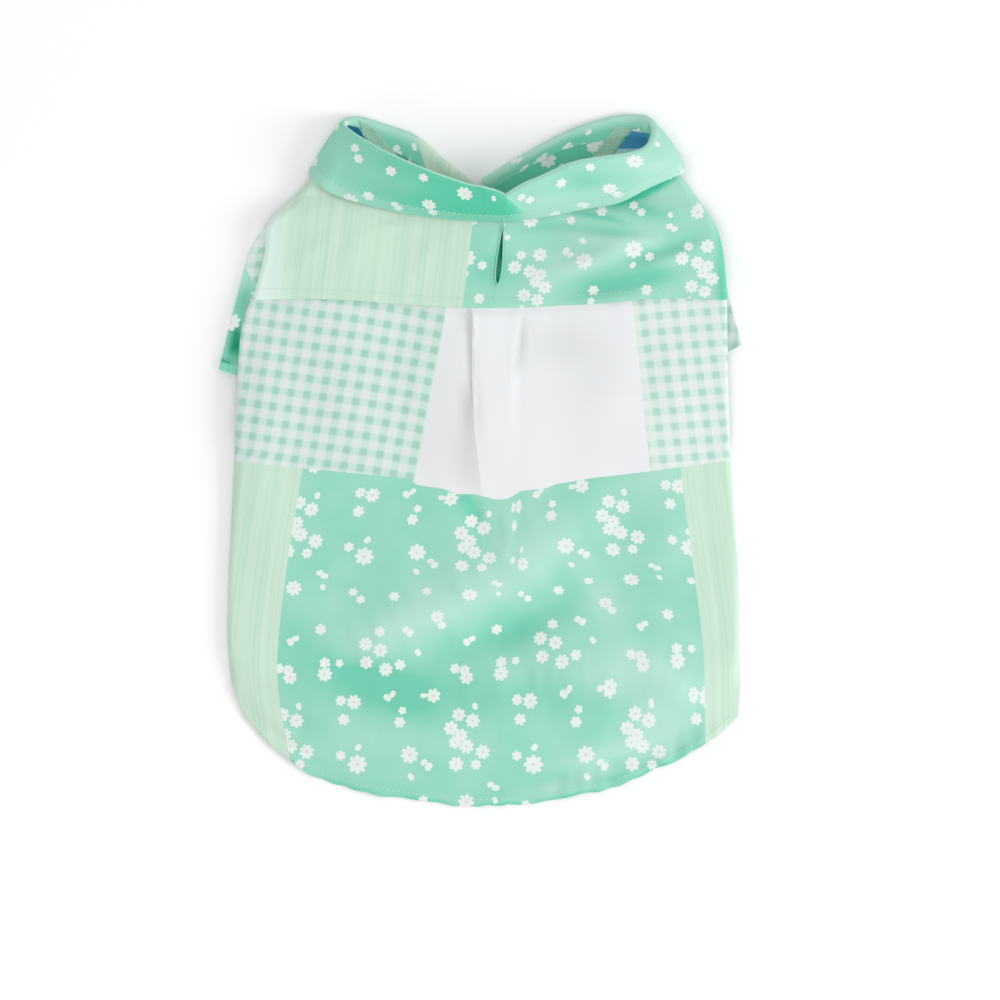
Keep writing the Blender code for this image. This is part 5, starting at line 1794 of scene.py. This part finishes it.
def make_sleeve(sleeve):
    grid, cut = sleeve_grid(sleeve.table)
    t = np.linspace(0, 1, SLEEVE_ROWS)[:, None]
    top = grid[..., 2] > SLEEVE_HEIGHT * 0.6
    x, y = grid[..., 0], grid[..., 1]
    grid[..., 2] += top * SLEEVE_WAVE * np.sin(x / 6 + y / 9) * np.sin(np.pi * t)
    grid[..., 2] += top * CUFF_STEP * (np.abs((1 - t) * CUT_LENGTH - sleeve.hem_depth) < CUFF_HALF)
    check = side_of(sleeve.border, x, y)
    hem = np.broadcast_to(np.where(t > CUFF_START, CUFF_SHARE, TUBE_SHARE), x.shape)
    # The second mark lays the painted shade of the table above.
    marks = {"tone": 0.2 - 0.9 * ramp(y, 88, -20), "painted_shade": np.clip(creases(SLEEVE_PAINTED_SHADE, x, y), 0, 1)}
    if sleeve.table[0].outer_x > 0:
        grid, cut, check, hem = grid[:, ::-1], cut[:, ::-1], check[:, ::-1], hem[:, ::-1]
    piece = cloth_piece(sleeve.name, grid, cut, {"check": check, **marks}, closed=True, hem=hem)
    dress(piece, sleeve_cotton(sleeve.gain))


for sleeve in SLEEVES:
    make_sleeve(sleeve)

# %% [markdown]
# ## Neck tapes and serged seam ends
#
# At both shoulder ends the neck seam is finished by machine: a serged band that holds the raw
# edges, and a short blue tape sewn over it. They are narrow and limp, so they are laid on whatever
# is already there: each point of a flat patch drops from above until it meets cloth.

# %% Laying a strip on the cloth
NECK_CAP = 8.6             # tapes stay under the standing half of the collar
DROP_HEIGHT, BARE_LEVEL = 60.0, 3.0
NECK_CLOTHS = ["collar_cloth", "front_left_cloth", "front_right_cloth"]


def felt_cloth(names):
    """A search tree over finished pieces, to lay things on them."""
    build = bmesh.new()
    for name in names:
        build.from_mesh(pieces[name].data)
    tree = BVHTree.FromBMesh(build)
    build.free()
    return tree


def level_under(tree, x, y, fallback=0.0):
    """Height of the topmost cloth under a point of the tables, in millimetres."""
    place = tree.ray_cast(on_table((x, y, DROP_HEIGHT)), Vector((0, 0, -1)))[0]
    return place.z / MM if place else fallback


def laid_patch(strip, tree, clear):
    """A grid between four corners (top left, top right, low right, low left), laid on the cloth."""
    a, b, c, d = (Vector(p) for p in strip.corners)
    grid = np.zeros((strip.rows + 1, strip.columns + 1, 3))
    for r in range(strip.rows + 1):
        left, right = d.lerp(a, r / strip.rows), c.lerp(b, r / strip.rows)
        for k in range(strip.columns + 1):
            spot = left.lerp(right, k / strip.columns)
            level = min(level_under(tree, spot.x, spot.y, BARE_LEVEL), NECK_CAP)
            grid[r, k] = (spot.x, spot.y, level + clear)
    smooth = grid[..., 2].copy()
    for _ in range(3):
        smooth[1:-1] = (smooth[:-2] + 2 * smooth[1:-1] + smooth[2:]) / 4
        smooth[:, 1:-1] = (smooth[:, :-2] + 2 * smooth[:, 1:-1] + smooth[:, 2:]) / 4
    grid[..., 2] = np.maximum(smooth, grid[..., 2])
    return grid


neck_cloth = felt_cloth(NECK_CLOTHS)
print("collar's leaf, mm high:", round(level_under(neck_cloth, 0, 126), 1))

# %% [markdown]
# The bands go down first and the tapes over them, each a little higher. A tape's woven edge is
# paler than its face.

# %% Neck tapes and serged bands
# The second blue is the tapes' blue painted darker, as shade on the left tape far down in the neck.
BLUE, BLUE_IN_PAINTED_SHADE, PALE_BLUE = (72, 146, 184), (30, 104, 136), (164, 210, 212)
SERGED, THREAD = (168, 214, 192), (205, 240, 226)
Strip = namedtuple("Strip", "name corners columns rows edge colour", defaults=(0, SERGED))
# The left tape is dyed with the blue in painted shade.
TAPES = [
    Strip("tape_left_cloth", [(-67, 167), (-61.9, 165.8), (-57.4, 158.4), (-63.4, 157.4)], 6, 9, -2.0,
          BLUE_IN_PAINTED_SHADE),
    Strip("tape_right_cloth", [(74.6, 164.2), (84, 162.3), (78.6, 151.6), (64.4, 150.6)], 10, 12, 4.6, BLUE),
]
BANDS = [
    Strip("serged_left", [(-61.2, 169.4), (-54.6, 165.6), (-39.6, 148.6), (-58.8, 157.5)], 10, 14),
    Strip("serged_right", [(66.4, 166.4), (74.6, 166.2), (62.6, 149.4), (53.4, 149.4)], 8, 14),
]
BAND_CLEAR, BAND_WALL, TAPE_CLEAR, TAPE_WALL, TAPE_LENGTH = 0.45, 0.4, 0.95, 0.5, 13


def tape_cotton(name, colour):
    cloth = Cotton(name)
    cloth.lay(dye(*colour))
    cloth.lay(dye(*PALE_BLUE), "edge")
    return cloth.finish()


serged = plain_cotton("serged_edge", SERGED)
for strip in BANDS:
    grid = laid_patch(strip, neck_cloth, BAND_CLEAR)
    dress(cloth_piece(strip.name, grid, grid[..., :2], wall=BAND_WALL), serged)
for strip in TAPES:
    grid = laid_patch(strip, neck_cloth, TAPE_CLEAR)
    depth = np.linspace(strip.edge, strip.edge - TAPE_LENGTH, strip.rows + 1)[:, None]
    marks = {"edge": np.broadcast_to(depth, grid.shape[:2])}
    tape = cloth_piece(strip.name, grid, grid[..., :2], marks, TAPE_WALL)
    dress(tape, tape_cotton(strip.name + "_dye", strip.colour))

# %% [markdown]
# ## Threads, by Geometry Nodes
#
# Topstitching is one short thread repeated along a line; serging is a thread that runs to and fro
# over an edge. Both follow a path, so two small node trees make them: the pitch, the stitch and the
# thread are inputs in metres. Each tree ends by turning its instances into a mesh with a material.

# %% Node trees for threads
STITCH_PITCH, STITCH_LENGTH, THREAD_WIDTH = 0.0026, 0.0019, 0.00034
SERGE_PITCH, SERGE_WIDTH, SERGE_UNEVEN, SERGE_SEED = 0.0011, 0.0017, (0.7, 1.1), 11


def thread_tree(title, sizes):
    """A node tree with a path, sizes in metres and a material as inputs."""
    tree = bpy.data.node_groups.new(title, "GeometryNodeTree")
    tree.interface.new_socket("Geometry", in_out="INPUT", socket_type="NodeSocketGeometry")
    for label, size in sizes.items():
        tree.interface.new_socket(label, in_out="INPUT", socket_type="NodeSocketFloat").default_value = size
    tree.interface.new_socket("Material", in_out="INPUT", socket_type="NodeSocketMaterial")
    tree.interface.new_socket("Geometry", in_out="OUTPUT", socket_type="NodeSocketGeometry")
    given, result = tree.nodes.new("NodeGroupInput"), tree.nodes.new("NodeGroupOutput")
    path = add_node(tree, "GeometryNodeMeshToCurve", {0: given.outputs["Geometry"]}).outputs[0]
    spaced = add_node(tree, "GeometryNodeResampleCurve", {"Curve": path, "Length": given.outputs["Pitch"]},
                      mode="LENGTH")
    return tree, given, result, spaced.outputs["Curve"]


def close_thread_tree(tree, given, result, geometry):
    """Turns the instances into a mesh and gives it the material."""
    realize = add_node(tree, "GeometryNodeRealizeInstances", {0: geometry}).outputs[0]
    inputs = {"Geometry": realize, "Material": given.outputs["Material"]}
    tree.links.new(add_node(tree, "GeometryNodeSetMaterial", inputs).outputs[0], result.inputs[0])
    return tree


def stitch_tree():
    """One small bead of thread at every pitch, turned along the line."""
    sizes = {"Pitch": STITCH_PITCH, "Length": STITCH_LENGTH, "Thread": THREAD_WIDTH}
    tree, given, result, curve = thread_tree("stitches", sizes)
    thread, heading = given.outputs["Thread"], add_node(tree, "GeometryNodeInputTangent").outputs[0]
    bead = add_node(tree, "GeometryNodeMeshIcoSphere", {"Radius": 0.5, "Subdivisions": 1})
    turn = add_node(tree, "FunctionNodeAlignRotationToVector", {"Vector": heading}, axis="X")
    size = add_node(tree, "ShaderNodeCombineXYZ", {"X": given.outputs["Length"], "Y": thread, "Z": thread})
    inputs = {"Points": curve, "Instance": bead.outputs["Mesh"], "Rotation": turn.outputs[0],
              "Scale": size.outputs[0]}
    place = add_node(tree, "GeometryNodeInstanceOnPoints", inputs)
    return close_thread_tree(tree, given, result, place.outputs[0])


def overlock_tree():
    """A thread that runs to and fro across the line; a width of 0 gives a plain cord."""
    sizes = {"Pitch": SERGE_PITCH, "Width": SERGE_WIDTH, "Thread": THREAD_WIDTH}
    tree, given, result, curve = thread_tree("overlock", sizes)
    heading, count = (add_node(tree, "GeometryNodeInput" + kind).outputs[0] for kind in ("Tangent", "Index"))
    aside = vector_calc(tree, "CROSS_PRODUCT", heading, (0, 0, 1))
    to_and_fro = calc(tree, "SUBTRACT", calc(tree, "MODULO", count, 2.0), 0.5)
    uneven = add_node(tree, "FunctionNodeRandomValue", {"Seed": SERGE_SEED})
    for socket, value in zip(in_use(uneven.inputs), SERGE_UNEVEN):
        socket.default_value = value
    reach = calc(tree, "MULTIPLY", to_and_fro, given.outputs["Width"])
    reach = calc(tree, "MULTIPLY", reach, in_use(uneven.outputs)[0])
    offset = scaled(tree, aside, reach)
    move = add_node(tree, "GeometryNodeSetPosition", {"Geometry": curve, "Offset": offset})
    radius = calc(tree, "MULTIPLY", given.outputs["Thread"], 0.5)
    ring = add_node(tree, "GeometryNodeCurvePrimitiveCircle", {"Resolution": 4, "Radius": radius})
    inputs = {"Curve": move.outputs[0], "Profile Curve": ring.outputs[0], "Fill Caps": True}
    tube = add_node(tree, "GeometryNodeCurveToMesh", inputs)
    return close_thread_tree(tree, given, result, tube.outputs[0])


STITCHES, OVERLOCK = stitch_tree(), overlock_tree()
print("thread trees:", len(STITCHES.nodes), "and", len(OVERLOCK.nodes), "nodes")

# %% [markdown]
# A seam's line is drawn on the flat plan, laid on the finished cloth and handed to a tree. The
# modifier's inputs are set by the identifiers of the tree's sockets.

# %% Lines for the threads
LINE_STEP, LINE_CLEAR = 1.5, 0.12
STANDING_LEAF, TAIL_INSET, TAIL_AIM = 13, 3.4, (0.0, -70.0)


def thread_piece(name, tree, lines, material, **sizes):
    """Threads along polylines given in metres, as a plain mesh."""
    points, edges = [], []
    for line in lines:
        edges += [(len(points) + k, len(points) + k + 1) for k in range(len(line) - 1)]
        points += line
    mesh = bpy.data.meshes.new(name)
    mesh.from_pydata(points, edges, [])
    piece = add_object(name, mesh)
    maker = piece.modifiers.new("threads", "NODES")
    maker.node_group = tree
    settings = {"Material": material, **sizes}
    for item in tree.interface.items_tree:
        if item.in_out == "INPUT" and item.name in settings:
            maker[item.identifier] = settings[item.name]
    plain_mesh(piece)
    return keep_piece(piece)


def laid_line(points, tree, clear=LINE_CLEAR, step=LINE_STEP, cap=DROP_HEIGHT):
    """A smooth line of the tables laid on the cloth, as places in metres."""
    line = Line([(p[0], p[1]) for p in points])
    count = max(int(line.length / step), 2)
    places = [line.at(k / count) for k in range(count + 1)]
    return [on_table((p.x, p.y, min(level_under(tree, p.x, p.y), cap) + clear)) for p in places]


def leaf_hem_line(inset):
    """The line inside the edge of the collar's standing leaf."""
    line = []
    for row in [row for row in collar_rows if row[ROLL, 2] > STANDING_LEAF][::4]:
        reach = np.cumsum(np.linalg.norm(np.diff(row[::-1], axis=0), axis=-1))
        line.append([np.interp(inset, np.concatenate([[0], reach]), row[::-1, axis]) for axis in (0, 1)])
    return line


def tail_hem_line():
    """The line inside the tail's edge, from side to side."""
    edge = np.array([p[:2] for p in smooth_line(BACK_HEM, 12)])
    toward = np.array(TAIL_AIM) - edge
    return (edge + toward / np.linalg.norm(toward, axis=1)[:, None] * TAIL_INSET)[3:-3]


print("stitches in 100 mm:", round(0.1 / STITCH_PITCH))

# %% [markdown]
# ## Topstitching, binding and serging
#
# The yoke is stitched along its seam and round the slit, the collar and the tail along their hems.
# The slit's edge is bound with a thin cord, and the serged bands carry four rows of thread.

# %% Topstitching, binding and serging
SEAM_INSET, SLIT_INSET, RIM, BINDING = 4.7, 4.2, 0.7, (150, 222, 198)
outer = felt_cloth(["collar_cloth", "yoke_cloth", "back_cloth", "sleeve_left_cloth", "sleeve_right_cloth"])
seam_line = [(-112.6, 85.2)] + [(x, y + SEAM_INSET) for x, y in YOKE_SEAM[1:-1]] + [(120.6, 84.6)]
round_slit = slit_outline(SLIT_WIDTH + SLIT_INSET)
below_slit = [(SLIT_BOTTOM[0] - 0.1, SLIT_BOTTOM[1] - 1.2), (5.6, 81)]
SEAMS = {
    "topstitch_yoke": [seam_line, below_slit, round_slit[:SLIT_STEPS + 1],
                       round_slit[SLIT_STEPS:] + round_slit[:1]],
    "topstitch_collar": [leaf_hem_line(LEAF_HEM)],
    "topstitch_tail": [tail_hem_line()],
    "topstitch_sleeve_left": [[(-131, 50.8), (-121, 47.9)]],
}
thread_dye = plain_cotton("thread", THREAD)
for name, lines in SEAMS.items():
    thread_piece(name, STITCHES, [laid_line(line, outer) for line in lines], thread_dye)
rim = slit_outline(SLIT_WIDTH + RIM)
thread_piece("binding_slit", OVERLOCK, [laid_line(rim + rim[:1], outer, 0.2)],
             plain_cotton("slit_binding", BINDING), Pitch=0.001, Width=0.0, Thread=0.0008)

neck_tops = felt_cloth(NECK_CLOTHS + [strip.name for strip in BANDS])
for strip in BANDS:
    a, b, c, d = (Vector(p) for p in strip.corners)
    paths = [laid_line([a.lerp(b, u), d.lerp(c, u)], neck_tops, 0.15, 1.0, NECK_CAP + 0.5)
             for u in (0.14, 0.38, 0.62, 0.86)]
    thread_piece("threads_" + strip.name, OVERLOCK, paths, thread_dye)

# %% [markdown]
# ## Put the pieces on the frame
#
# Every piece rides the shirt's one body and stands for its solid, which is hidden; the things sewn on it ride
# the same body, and its area is printed.

# %% Put the pieces on the frame
Sheet = namedtuple("Sheet", "piece node width length area held sewn_on")
SHEETS = [
    Sheet("back_cloth", "back_panel", 0.290, 0.268, 0.0650, "laid",
          ["topstitch_tail"]),
    Sheet("yoke_cloth", "yoke", 0.262, 0.086, 0.0180, "laid",
          ["topstitch_yoke", "binding_slit"]),
    Sheet("front_left_cloth", "front_left", 0.140, 0.250, 0.0270, "laid",
          ["serged_left", "threads_serged_left"]),
    Sheet("front_right_cloth", "front_right", 0.140, 0.250, 0.0270, "laid",
          ["serged_right", "threads_serged_right"]),
    Sheet("sleeve_left_cloth", "sleeve_left", 0.120, 0.090, 0.0085, "folded",
          ["topstitch_sleeve_left"]),
    Sheet("sleeve_right_cloth", "sleeve_right", 0.110, 0.080, 0.0075, "folded", []),
    Sheet("collar_cloth", "collar", 0.500, 0.036, 0.0170, "folded", ["topstitch_collar"]),
    Sheet("tape_left_cloth", "neck_tape_left", 0.012, 0.010, 0.000085, "laid", []),
    Sheet("tape_right_cloth", "neck_tape_right", 0.018, 0.016, 0.00025, "laid", []),
]


def cloth_area(piece):
    return sum(face.area for face in piece.data.polygons) / 2


for row in SHEETS:
    piece = pieces[row.piece]
    print(row.piece, "area", round(cloth_area(piece), 6))
    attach(piece, "root")
    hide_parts(row.node)
    for name in row.sewn_on:
        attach(pieces[name], "root")
    [pieces[name] for name in row.sewn_on]
